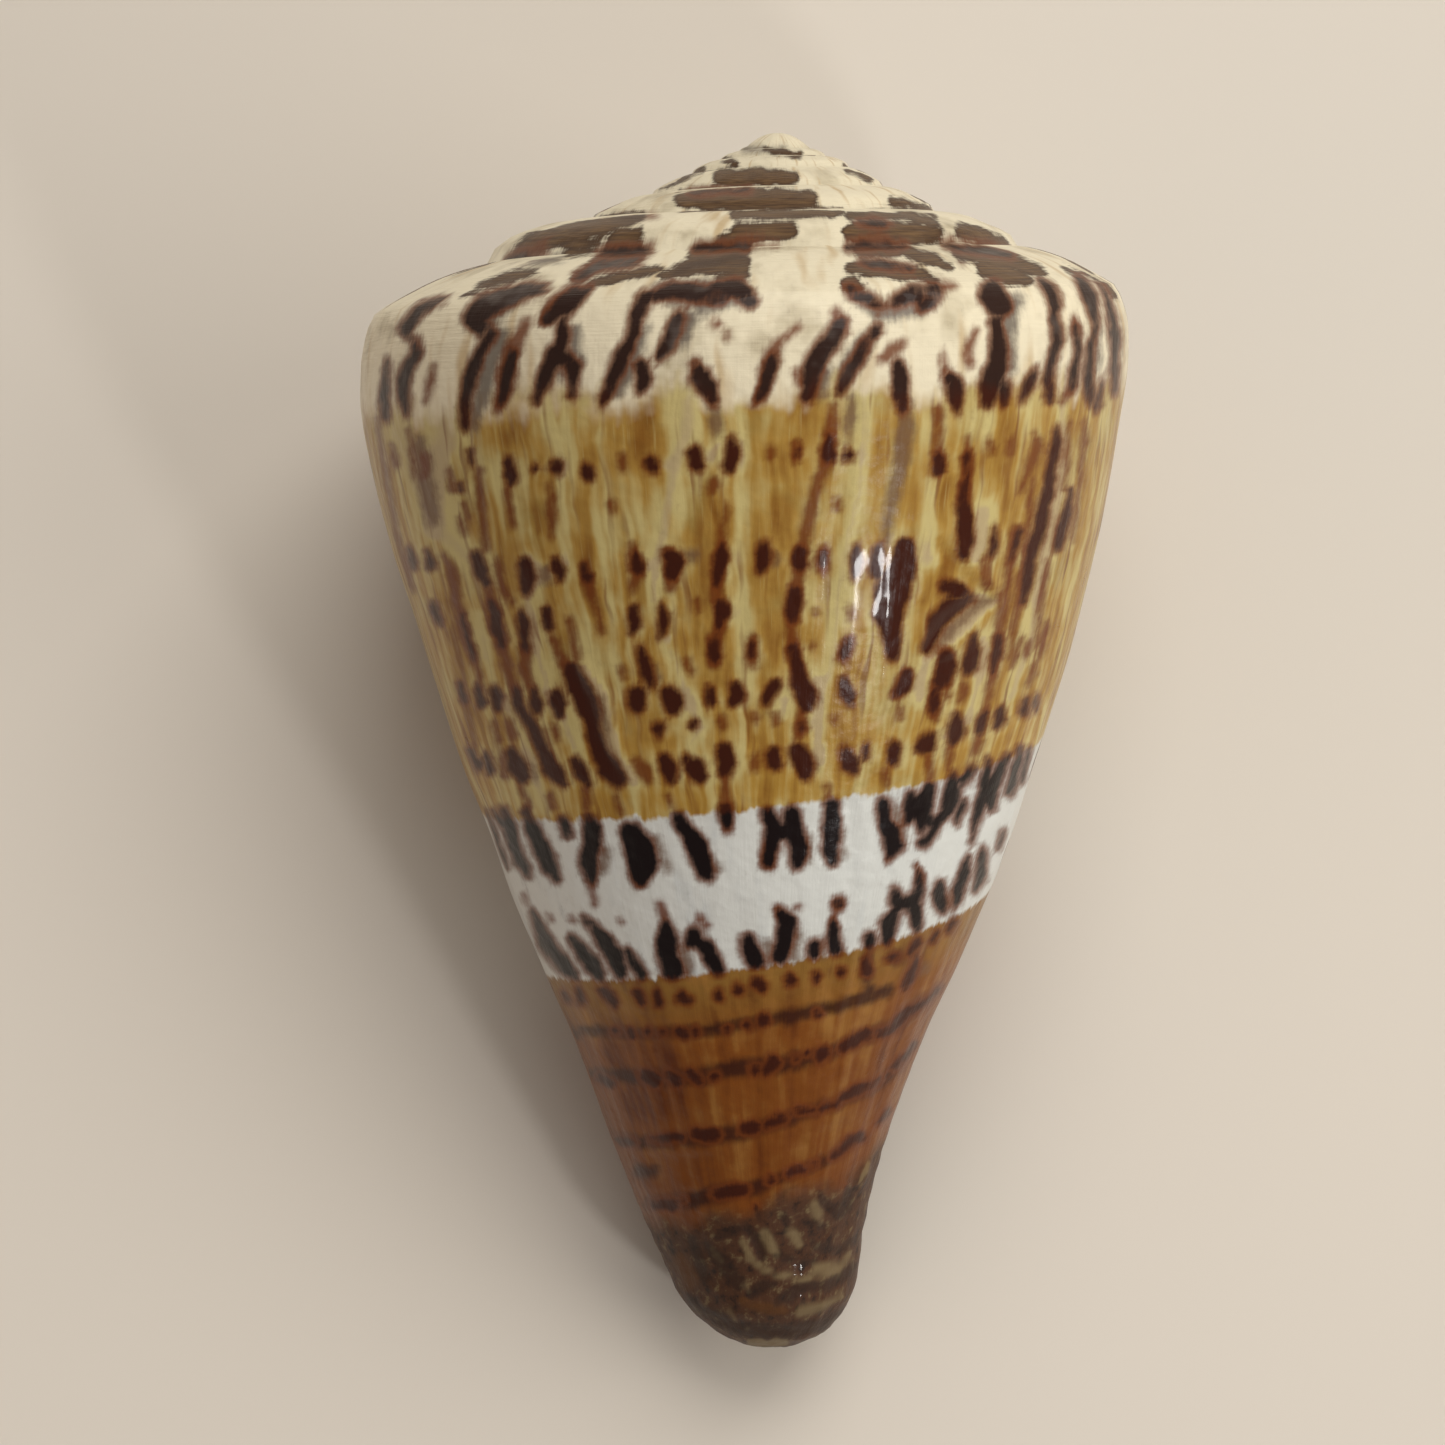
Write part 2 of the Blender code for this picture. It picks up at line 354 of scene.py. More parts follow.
# The marks on the back of the shell, as they are seen from the camera. Each is a line of points:
# x, y and half the mark's width there, in pixels of the photograph.
shoulderMarks = {
    "dark": (
        ((444, 299, 3), (425, 305, 5), (413, 317, 6), (405, 330, 6), (408, 337, 4)),
        ((414, 341, 3), (417, 352, 4), (408, 368, 5), (403, 385, 6), (404, 400, 5), (406, 414, 3)),
        ((388, 360, 2), (386, 375, 3), (384, 395, 5), (386, 418, 4)),
        ((545, 288, 4), (522, 291, 7), (503, 299, 10), (485, 307, 12), (473, 319, 10), (480, 330, 7)),
        ((492, 332, 4), (484, 345, 5), (475, 362, 6), (470, 380, 6), (466, 400, 5), (464, 428, 4)),
        ((512, 352, 5), (507, 372, 7), (505, 392, 6), (500, 404, 4)),
        ((562, 324, 6), (563, 340, 7), (555, 355, 9), (548, 370, 7), (543, 385, 6), (536, 400, 4)),
        ((563, 356, 6), (574, 366, 7), (573, 382, 5), (572, 396, 3)),
        ((588, 289, 4), (575, 296, 9), (565, 305, 11), (553, 314, 7), (546, 321, 4)),
        ((648, 296, 7), (640, 305, 7), (637, 318, 6), (632, 335, 6), (624, 352, 7), (616, 370, 7),
         (609, 388, 6), (603, 404, 4)),
        ((680, 316, 5), (673, 332, 7), (668, 345, 7), (659, 357, 4)),
        ((641, 366, 6), (644, 378, 7), (641, 389, 4)),
        ((696, 366, 5), (700, 378, 9), (708, 388, 10), (714, 402, 5)),
        ((655, 297, 6), (672, 290, 8), (698, 294, 9), (720, 299, 6)),
        ((716, 288, 6), (738, 289, 9), (749, 299, 9)),
        ((773, 357, 5), (768, 372, 7), (765, 386, 6), (759, 400, 4)),
        ((842, 322, 6), (832, 340, 8), (820, 352, 9), (812, 368, 9), (810, 384, 8), (808, 398, 6)),
        ((878, 328, 5), (866, 342, 5), (858, 358, 5), (848, 374, 5), (839, 392, 4)),
        ((898, 364, 5), (901, 378, 8), (900, 392, 8), (902, 408, 6)),
        ((948, 376, 6), (955, 385, 8), (955, 396, 7), (957, 411, 4)), ((992, 294, 13), (1000, 306, 12)),
        ((995, 322, 6), (998, 340, 8), (999, 356, 9), (996, 371, 11), (990, 386, 10), (988, 402, 6)),
        ((1005, 386, 6), (1003, 404, 4)),
        ((1043, 283, 4), (1053, 292, 6), (1055, 306, 5), (1054, 318, 4), (1058, 331, 4), (1056, 346, 5),
         (1051, 362, 4), (1049, 380, 5), (1050, 398, 5)),
        ((1034, 372, 3), (1029, 385, 5), (1022, 401, 3)),
        ((1076, 326, 3), (1079, 350, 4), (1075, 371, 5), (1071, 388, 4)),
        ((1078, 277, 4), (1088, 292, 7), (1093, 306, 6), (1096, 322, 3), (1094, 340, 3), (1089, 360, 4),
         (1088, 382, 5), (1090, 402, 4)),
        ((1102, 382, 2), (1098, 396, 3), (1096, 411, 3)),
        ((1098, 285, 2), (1108, 300, 3), (1113, 320, 4), (1116, 342, 4), (1114, 366, 4), (1114, 392, 3)),
        ((893, 304, 5), (912, 294, 8), (936, 291, 7)), ((850, 291, 6), (868, 299, 7), (880, 305, 4)),
    ),
    "rust": (
        ((434, 366, 3), (431, 378, 4), (429, 390, 4), (426, 402, 3)),
        ((527, 322, 4), (518, 336, 7), (511, 352, 8), (506, 372, 8), (504, 392, 7), (497, 410, 5)),
        ((590, 286, 4), (570, 290, 6), (552, 304, 7), (543, 320, 5)), ((418, 338, 3), (418, 354, 4)),
        ((716, 323, 5), (718, 325, 4)), ((727, 334, 3), (726, 340, 3)),
        ((798, 327, 4), (788, 336, 4), (776, 345, 5), (770, 356, 6), (761, 392, 6), (754, 406, 3)),
        ((836, 311, 5), (843, 322, 6), (848, 333, 3)), ((902, 343, 5), (892, 352, 6), (879, 360, 4)),
        ((943, 353, 3), (943, 366, 5), (948, 377, 5)),
        ((976, 330, 3), (969, 343, 4), (967, 355, 5), (971, 366, 3)), ((1074, 318, 3), (1077, 330, 4)),
        ((935, 281, 3), (945, 284, 4), (956, 286, 2)), ((1071, 390, 4), (1063, 402, 3)),
        ((696, 360, 4), (694, 372, 4)), ((798, 372, 5), (800, 384, 4)),
    ),
    "grey": (
        ((500, 336, 9), (490, 362, 9), (484, 390, 9), (474, 424, 7)),
        ((656, 292, 9), (672, 292, 13), (702, 294, 15), (732, 294, 13)),
        ((645, 330, 6), (630, 366, 8), (618, 392, 7)), ((575, 330, 7), (578, 360, 7), (560, 375, 5)),
        ((688, 318, 8), (683, 340, 6)), ((730, 300, 8), (702, 306, 10)),
        ((862, 303, 8), (880, 312, 10), (900, 312, 8), (925, 303, 9)), ((822, 372, 8), (820, 392, 7)),
        ((866, 342, 10), (850, 366, 8)), ((1016, 300, 9), (1008, 322, 9), (1010, 345, 6), (1010, 370, 5)),
        ((712, 402, 8), (716, 428, 8)), ((852, 398, 4), (850, 420, 8), (847, 446, 3)),
        ((485, 312, 14), (505, 303, 10)), ((1100, 330, 3), (1096, 370, 5)),
        ((907, 400, 5), (905, 430, 10), (902, 455, 9), (896, 485, 8), (890, 512, 6), (885, 545, 4)),
    ),
}
spireMarks = {
    "brown": (
        ((535, 271, 3), (512, 276, 5), (492, 283, 4), (478, 288, 3)),
        ((505, 287, 1), (480, 292, 2), (457, 298, 1)),
        ((640, 256, 6), (612, 258, 9), (590, 268, 6), (575, 279, 5)),
        ((660, 270, 3), (620, 276, 5), (590, 284, 4)), ((745, 250, 6), (715, 252, 8), (692, 257, 6)),
        ((745, 262, 6), (715, 264, 9), (685, 269, 8), (662, 276, 3)), ((745, 275, 6), (720, 277, 5)),
        ((850, 268, 5), (872, 269, 8), (895, 272, 7), (918, 274, 6), (936, 281, 3)),
        ((850, 285, 8), (858, 292, 8)), ((860, 250, 5), (885, 251, 6), (905, 250, 4)),
        ((910, 252, 6), (932, 260, 6), (950, 268, 3)),
        ((958, 252, 7), (985, 256, 9), (1012, 262, 8), (1042, 272, 5)),
        ((985, 268, 9), (1008, 276, 9), (1030, 280, 5)), ((1062, 266, 2), (1082, 276, 4)),
        ((1082, 270, 2), (1102, 281, 3), (1116, 296, 3)),
        ((640, 216, 5), (605, 224, 9), (565, 233, 11), (535, 243, 11), (512, 255, 5)),
        ((600, 244, 8), (570, 250, 8)), ((640, 232, 5), (615, 240, 8)),
        ((738, 232, 9), (765, 232, 10), (790, 231, 9)), ((725, 239, 5), (745, 238, 7)),
        ((735, 215, 5), (790, 213, 5), (840, 212, 4)),
        ((852, 232, 9), (880, 232, 11), (915, 233, 11), (938, 236, 8)),
        ((850, 215, 4), (900, 214, 5), (935, 222, 4)), ((960, 227, 5), (985, 236, 9), (1005, 245, 5)),
        ((682, 200, 8), (720, 200, 10), (770, 199, 10), (808, 199, 8)),
        ((890, 200, 3), (915, 206, 4), (935, 212, 4)), ((722, 178, 8), (760, 177, 9), (792, 178, 7)),
        ((640, 190, 3), (672, 181, 4), (700, 168, 4)), ((845, 166, 3), (870, 178, 4)),
        ((765, 149, 2), (798, 155, 3)), ((722, 159, 3), (735, 163, 3)),
    ),
    "dark": (
        ((545, 248, 5), (525, 254, 6), (508, 260, 3)), ((648, 252, 3), (620, 251, 4), (600, 252, 4)),
        ((750, 246, 3), (720, 246, 4), (695, 249, 4)), ((905, 246, 2), (870, 246, 3), (848, 247, 3)),
        ((945, 246, 2), (985, 250, 4), (1010, 256, 3)), ((862, 262, 3), (890, 266, 4), (912, 268, 3)),
        ((640, 262, 3), (600, 264, 4), (578, 276, 4)), ((690, 192, 2), (750, 190, 2)),
        ((860, 222, 3), (885, 224, 4)), ((740, 241, 3), (775, 242, 3)), ((930, 303, 6), (922, 306, 5)),
    ),
    "rust": (
        ((745, 258, 3), (705, 262, 4), (675, 272, 4)), ((615, 217, 3), (655, 216, 3)),
        ((955, 250, 3), (962, 262, 2)),
    ),
    "grey": (
        ((560, 258, 4), (530, 262, 4)), ((690, 168, 5), (650, 185, 4)), ((745, 150, 5), (780, 150, 5)),
    ),
}
yellowMarks = {
    "dark": (
        ((470, 452, 2), (472, 466, 2)), ((460, 488, 4),), ((508, 462, 5), (511, 475, 7), (511, 484, 3)),
        ((556, 467, 7), (557, 470, 6)), ((587, 469, 6), (589, 475, 6)), ((534, 468, 4),),
        ((651, 463, 8), (654, 467, 6)), ((695, 455, 8), (696, 465, 7)),
        ((731, 440, 4), (733, 455, 7), (729, 468, 6)), ((797, 447, 4), (797, 456, 4)),
        ((830, 440, 6), (829, 456, 7)), ((848, 456, 6),), ((938, 455, 5), (939, 470, 7)),
        ((968, 455, 4), (966, 480, 4), (962, 500, 5), (965, 520, 8), (966, 540, 8), (964, 556, 5)),
        ((1056, 430, 3), (1055, 450, 6), (1050, 470, 5), (1047, 495, 6), (1042, 520, 6), (1035, 545, 6),
         (1030, 562, 5), (1027, 582, 5), (1022, 602, 4)),
        ((1070, 490, 2), (1068, 510, 4), (1062, 530, 6), (1058, 546, 4)), ((427, 552, 3), (430, 566, 5)),
        ((410, 548, 2), (414, 566, 4)), ((476, 555, 4), (481, 570, 6), (486, 583, 4)),
        ((525, 564, 7), (527, 576, 9), (526, 590, 6)), ((555, 560, 4), (559, 570, 6), (560, 579, 3)),
        ((584, 566, 5), (587, 578, 6)), ((635, 555, 4), (638, 568, 7)),
        ((668, 556, 6), (675, 561, 9), (672, 573, 7)),
        ((723, 545, 4), (722, 557, 8), (718, 571, 7), (717, 584, 4)),
        ((763, 546, 6), (764, 556, 9), (762, 568, 6)), ((800, 552, 8), (799, 564, 8)),
        ((823, 555, 5), (822, 565, 5)), ((857, 548, 4), (857, 562, 6), (855, 574, 4)),
        ((905, 548, 10), (903, 566, 13), (893, 590, 18), (889, 612, 16), (892, 638, 8), (893, 657, 6)),
        ((878, 548, 5), (877, 572, 7)), ((1020, 530, 3), (1015, 546, 4), (1008, 561, 2)),
        ((995, 530, 3), (993, 546, 4), (989, 556, 2)), ((945, 586, 7), (960, 591, 8), (972, 600, 4)),
        ((968, 601, 5), (950, 608, 9), (938, 620, 9), (931, 636, 7), (926, 649, 5)),
        ((946, 657, 7), (946, 668, 10), (942, 681, 8)),
        ((974, 636, 3), (973, 650, 7), (970, 664, 8), (968, 674, 4)),
        ((998, 638, 4), (996, 655, 5), (992, 672, 3)), ((907, 675, 6), (904, 685, 8), (897, 693, 4)),
        ((434, 606, 3), (437, 616, 4), (441, 626, 2)), ((462, 616, 3), (468, 640, 4), (474, 660, 3)),
        ((492, 604, 5), (497, 625, 7), (502, 645, 5)), ((522, 614, 4), (524, 628, 7), (525, 648, 5)),
        ((547, 610, 5), (549, 626, 5)), ((461, 686, 3), (465, 700, 4)), ((479, 688, 3), (482, 704, 5)),
        ((495, 690, 5), (498, 700, 7), (499, 708, 4)),
        ((515, 690, 4), (520, 708, 6), (528, 722, 5), (537, 737, 6), (543, 750, 6), (549, 764, 8),
         (557, 776, 8), (563, 784, 4)),
        ((556, 695, 6), (558, 705, 7), (560, 715, 4)), ((533, 690, 3), (536, 704, 6), (537, 712, 4)),
        ((570, 668, 6), (577, 684, 11), (586, 700, 11), (591, 714, 9), (592, 728, 7), (597, 742, 8),
         (602, 756, 9), (610, 769, 11), (619, 779, 8)),
        ((636, 694, 8), (637, 705, 8)), ((634, 610, 5), (634, 623, 6), (631, 634, 3)),
        ((661, 606, 3), (664, 618, 6), (663, 629, 5), (660, 638, 2)),
        ((640, 648, 4), (644, 662, 6), (648, 675, 6), (652, 685, 3)),
        ((720, 604, 6), (723, 613, 8), (719, 625, 4)), ((714, 642, 6), (714, 657, 7)),
        ((752, 643, 4), (752, 655, 5)), ((669, 693, 8), (673, 702, 10), (674, 708, 7)),
        ((710, 689, 5), (710, 700, 6)), ((736, 688, 7), (738, 695, 8), (733, 703, 5)),
        ((776, 685, 6), (770, 692, 6), (767, 703, 4)), ((795, 590, 6), (794, 606, 8), (792, 618, 6)),
        ((793, 648, 6), (796, 665, 7), (800, 680, 9), (805, 693, 11), (807, 706, 7)), ((801, 727, 6),),
        ((843, 682, 5), (847, 693, 8), (850, 702, 5)), ((848, 642, 5), (843, 656, 5)),
        ((659, 728, 6), (659, 735, 4)), ((694, 724, 5),), ((935, 694, 5), (934, 710, 5)),
        ((470, 750, 3), (478, 766, 5)), ((487, 755, 3), (490, 770, 4)),
        ((511, 753, 5), (517, 765, 9), (523, 778, 6)), ((575, 763, 5), (582, 775, 7), (588, 783, 4)),
        ((664, 758, 5), (668, 768, 9), (669, 778, 6)), ((685, 758, 4), (695, 768, 10), (700, 777, 7)),
        ((725, 752, 8), (727, 762, 9), (725, 772, 7)), ((773, 752, 7), (775, 763, 8)),
        ((797, 750, 8), (802, 760, 11), (805, 773, 7)), ((846, 752, 7), (850, 762, 9), (853, 768, 6)),
        ((866, 747, 4), (866, 756, 4)), ((894, 747, 7), (893, 760, 7)),
        ((931, 736, 6), (927, 745, 9), (918, 748, 4)), ((957, 718, 5), (956, 730, 9), (953, 740, 6)),
        ((986, 712, 3), (982, 722, 6), (979, 732, 3)), ((1003, 708, 3), (1000, 718, 6), (997, 726, 3)),
        ((1027, 700, 3), (1024, 713, 4)), ((1037, 696, 2), (1035, 709, 3)),
    ),
    "rust": (
        ((1032, 480, 2), (1030, 510, 3), (1025, 550, 3), (1019, 590, 3), (1013, 630, 3), (1009, 660, 2)),
        ((1048, 560, 2), (1042, 600, 3), (1034, 650, 2)),
        ((1070, 420, 2), (1067, 460, 3), (1064, 490, 2)),
        ((1084, 420, 2), (1080, 480, 3), (1072, 540, 2)),
        ((1015, 528, 3), (1010, 560, 4), (1005, 600, 4), (1000, 640, 4), (994, 680, 3), (986, 710, 3)),
        ((392, 445, 2), (396, 466, 4)), ((424, 455, 4), (425, 475, 4)),
        ((408, 428, 2), (413, 455, 2), (414, 478, 2)),
        ((377, 420, 2), (385, 470, 3), (395, 530, 2), (410, 582, 2)),
        ((396, 535, 2), (403, 556, 3), (412, 590, 3)), ((449, 470, 3), (452, 490, 3)),
        ((443, 555, 3), (452, 570, 5), (455, 585, 5), (457, 602, 4), (463, 622, 4), (470, 648, 4),
         (478, 672, 3), (481, 690, 3)),
        ((507, 488, 3), (510, 510, 4), (512, 526, 3)),
        ((550, 485, 3), (552, 505, 5), (552, 520, 5), (552, 536, 3)),
        ((479, 470, 3), (480, 500, 4), (483, 525, 4), (485, 547, 4)), ((464, 505, 3), (469, 520, 3)),
        ((497, 560, 4), (500, 575, 5), (505, 592, 5), (512, 604, 3)),
        ((587, 578, 6), (592, 596, 5), (598, 614, 3), (601, 632, 3)), ((622, 457, 4), (624, 470, 4)),
        ((714, 482, 6), (710, 490, 4)), ((771, 449, 4), (771, 456, 3)), ((797, 443, 4), (797, 460, 4)),
        ((612, 503, 4), (613, 512, 3)), ((838, 500, 4), (838, 508, 4)), ((728, 505, 2), (723, 528, 3)),
        ((835, 404, 4), (832, 425, 6), (829, 448, 7), (823, 473, 6), (816, 490, 6), (811, 510, 6),
         (806, 530, 6), (802, 550, 6), (797, 582, 6), (794, 605, 6), (790, 632, 5),
         (794, 655, 6), (799, 678, 7)),
        ((939, 410, 5), (938, 440, 4), (939, 462, 6)), ((967, 440, 3), (968, 462, 6), (964, 500, 7)),
        ((990, 439, 3), (991, 451, 4)), ((1011, 439, 3), (1009, 451, 4)),
        ((1036, 436, 4), (1038, 447, 6), (1030, 465, 4), (1020, 492, 3)),
        ((1085, 430, 3), (1084, 446, 3)), ((632, 545, 4), (638, 570, 7), (632, 592, 4)),
        ((667, 552, 6), (672, 575, 8), (671, 588, 5)),
        ((723, 534, 4), (718, 582, 7), (714, 600, 5), (721, 608, 7), (722, 622, 6), (714, 640, 7),
         (714, 662, 7)),
        ((823, 551, 6), (822, 568, 7)), ((985, 562, 4), (987, 584, 5)),
        ((1000, 592, 3), (1000, 620, 4), (998, 640, 5), (992, 676, 4), (989, 690, 3)),
        ((1020, 590, 3), (1018, 610, 3), (1015, 630, 3)),
        ((1021, 640, 3), (1015, 655, 4), (1011, 668, 2)), ((1028, 645, 4), (1027, 656, 3)),
        ((1035, 665, 3), (1030, 686, 2)), ((1047, 625, 3), (1043, 641, 4), (1038, 656, 2)),
        ((570, 620, 4), (573, 640, 4), (578, 658, 4)),
        ((488, 592, 5), (494, 612, 6), (503, 650, 6), (509, 672, 5), (515, 692, 5)),
        ((525, 650, 6), (524, 668, 6), (530, 686, 4)), ((552, 640, 4), (558, 652, 5), (566, 664, 5)),
        ((622, 668, 4), (624, 676, 4)), ((686, 662, 5), (690, 671, 4)), ((816, 612, 4),),
        ((813, 645, 4),), ((849, 640, 6), (842, 660, 6)), ((850, 608, 4), (850, 618, 4)),
        ((753, 638, 5), (753, 666, 5)), ((697, 600, 3), (698, 610, 3)), ((459, 520, 3), (465, 532, 3)),
        ((508, 722, 3), (514, 736, 4)), ((553, 728, 4), (557, 736, 4)), ((494, 722, 3), (499, 740, 4)),
        ((721, 720, 5), (722, 727, 4)), ((755, 716, 4), (756, 721, 4)), ((775, 716, 4), (776, 722, 4)),
        ((802, 712, 4), (801, 727, 7), (799, 735, 4)), ((833, 718, 4), (834, 722, 3)),
        ((900, 711, 4), (899, 717, 3)), ((964, 688, 5), (961, 702, 3)), ((949, 696, 4),),
        ((501, 755, 4), (505, 776, 4)), ((636, 762, 5), (645, 773, 7), (650, 780, 4)),
        ((755, 758, 5), (755, 768, 5)), ((725, 775, 4), (725, 802, 4)), ((827, 788, 4), (828, 794, 3)),
        ((885, 772, 4), (886, 786, 3)), ((550, 796, 4), (553, 807, 4)), ((522, 788, 3), (529, 806, 4)),
        ((586, 790, 3), (588, 806, 3)), ((617, 796, 3), (621, 815, 3)), ((667, 796, 3), (672, 806, 3)),
        ((930, 760, 5), (930, 778, 4)), ((950, 748, 4), (948, 768, 3)), ((978, 742, 5), (976, 752, 4)),
        ((906, 675, 7), (896, 695, 5)), ((935, 688, 6), (934, 716, 5)), ((946, 657, 9), (943, 683, 9)),
    ),
    "grey": (
        ((545, 572, 8), (546, 577, 8)), ((693, 555, 7), (686, 556, 6)), ((775, 562, 6), (775, 556, 6)),
        ((600, 700, 5), (604, 728, 5)),
        ((996, 598, 5), (978, 606, 8), (962, 620, 8), (947, 635, 6), (935, 649, 4)),
        ((655, 668, 5), (658, 680, 4)), ((812, 690, 6), (818, 700, 5)), ((811, 760, 6), (813, 768, 5)),
        ((677, 770, 5), (678, 778, 4)), ((532, 768, 4), (536, 776, 4)), ((440, 745, 3), (452, 780, 3)),
        ((420, 440, 8), (432, 520, 7)),
    ),
}
whiteMarks = {
    "dark": (
        ((484, 812, 2), (489, 825, 3), (495, 840, 3), (501, 855, 3), (507, 868, 1)),
        ((494, 812, 3), (502, 824, 4)),
        ((504, 810, 4), (509, 825, 6), (514, 845, 6), (520, 860, 6), (528, 874, 3)),
        ((526, 812, 4), (533, 828, 7), (540, 845, 8), (548, 862, 8), (556, 877, 4)),
        ((563, 820, 5), (568, 834, 4)),
        ((589, 817, 5), (592, 830, 8), (592, 845, 9), (587, 858, 9), (590, 870, 7), (593, 882, 4)),
        ((630, 832, 10), (639, 846, 14), (643, 862, 15), (640, 876, 10)),
        ((678, 818, 6), (686, 832, 7), (696, 845, 10), (702, 860, 11), (707, 873, 8)),
        ((725, 808, 6), (726, 816, 8), (728, 826, 5)),
        ((767, 812, 6), (774, 826, 7), (772, 842, 7), (769, 862, 7)), ((775, 832, 8), (796, 831, 8)),
        ((792, 813, 7), (794, 833, 10), (800, 850, 9), (797, 863, 7)),
        ((832, 806, 8), (832, 825, 9), (831, 848, 9), (833, 860, 6)),
        ((884, 803, 6), (884, 820, 7), (892, 833, 9), (894, 845, 9), (889, 857, 3)),
        ((911, 797, 5), (911, 812, 6), (908, 822, 3)),
        ((930, 789, 6), (923, 803, 10), (921, 816, 8), (921, 828, 3)),
        ((925, 820, 6), (935, 822, 6), (932, 834, 5), (924, 844, 5)),
        ((938, 820, 5), (946, 812, 6), (951, 798, 8), (953, 785, 7), (954, 776, 4)),
        ((960, 782, 5), (967, 779, 4), (973, 767, 3)), ((964, 801, 4), (960, 812, 4), (956, 823, 2)),
        ((989, 760, 3), (986, 775, 5), (984, 790, 5), (980, 805, 6), (976, 822, 4), (971, 841, 1)),
        ((1008, 755, 3), (1000, 770, 5), (993, 785, 7), (989, 798, 7), (991, 808, 4)),
        ((1020, 748, 3), (1018, 762, 4), (1013, 778, 4), (1010, 793, 3)),
        ((1030, 750, 2), (1025, 766, 2), (1021, 782, 2)),
        ((532, 912, 2), (538, 925, 5), (545, 940, 7), (555, 955, 7), (568, 970, 6), (575, 977, 3)),
        ((572, 938, 3), (580, 950, 6), (590, 963, 8), (600, 976, 5)),
        ((585, 918, 2), (595, 928, 5), (604, 940, 8), (612, 952, 9), (618, 965, 8), (622, 976, 5)),
        ((625, 950, 3), (635, 964, 5), (643, 975, 5)),
        ((667, 924, 5), (667, 940, 10), (668, 956, 10), (672, 970, 11)),
        ((694, 935, 8), (690, 941, 6), (702, 945, 7), (711, 957, 8), (720, 970, 6)),
        ((747, 939, 6), (750, 950, 9), (756, 962, 8)),
        ((781, 913, 6), (788, 925, 9), (785, 940, 9), (780, 956, 7)), ((814, 943, 5), (813, 953, 6)),
        ((839, 903, 6),), ((833, 922, 4), (833, 936, 7), (837, 950, 6)), ((869, 939, 6), (869, 945, 6)),
        ((895, 892, 5), (898, 903, 8), (914, 901, 7), (919, 890, 5), (920, 878, 5), (917, 868, 2)),
        ((914, 905, 7), (916, 920, 6), (918, 927, 4)), ((894, 914, 5), (888, 927, 8), (887, 939, 6)),
        ((940, 883, 3), (938, 895, 7), (941, 907, 6)),
        ((967, 858, 3), (964, 875, 4), (959, 890, 5), (955, 904, 3)),
        ((983, 848, 2), (983, 862, 4), (981, 878, 5), (976, 890, 2)), ((1002, 832, 1), (999, 848, 2)),
    ),
    "rust": (
        ((592, 880, 4), (593, 893, 3), (596, 904, 3)), ((638, 876, 7), (638, 884, 5)),
        ((660, 905, 4), (664, 916, 5)), ((701, 919, 5), (707, 926, 4)), ((777, 909, 5), (780, 914, 5)),
        ((839, 903, 7), (835, 914, 3), (833, 921, 4)), ((726, 804, 5), (728, 832, 4)),
        ((917, 866, 3), (922, 880, 4)), ((549, 916, 2), (551, 920, 2)), ((572, 919, 3), (576, 921, 2)),
        ((619, 920, 2), (622, 923, 2)), ((798, 908, 4),), ((524, 895, 1), (527, 905, 1)),
        ((769, 862, 8), (768, 848, 7)), ((889, 860, 3),),
    ),
    "grey": (
        ((604, 850, 6), (602, 870, 6)), ((656, 840, 5), (668, 868, 5)), ((690, 838, 5), (716, 868, 5)),
        ((808, 840, 6), (808, 862, 6)), ((844, 830, 4), (843, 855, 5)), ((898, 815, 6), (905, 838, 4)),
        ((766, 945, 5), (768, 960, 5)), ((798, 935, 5), (794, 955, 6)), ((822, 945, 5), (822, 955, 4)),
        ((684, 950, 6), (688, 968, 6)), ((951, 895, 4), (949, 905, 4)),
    ),
}
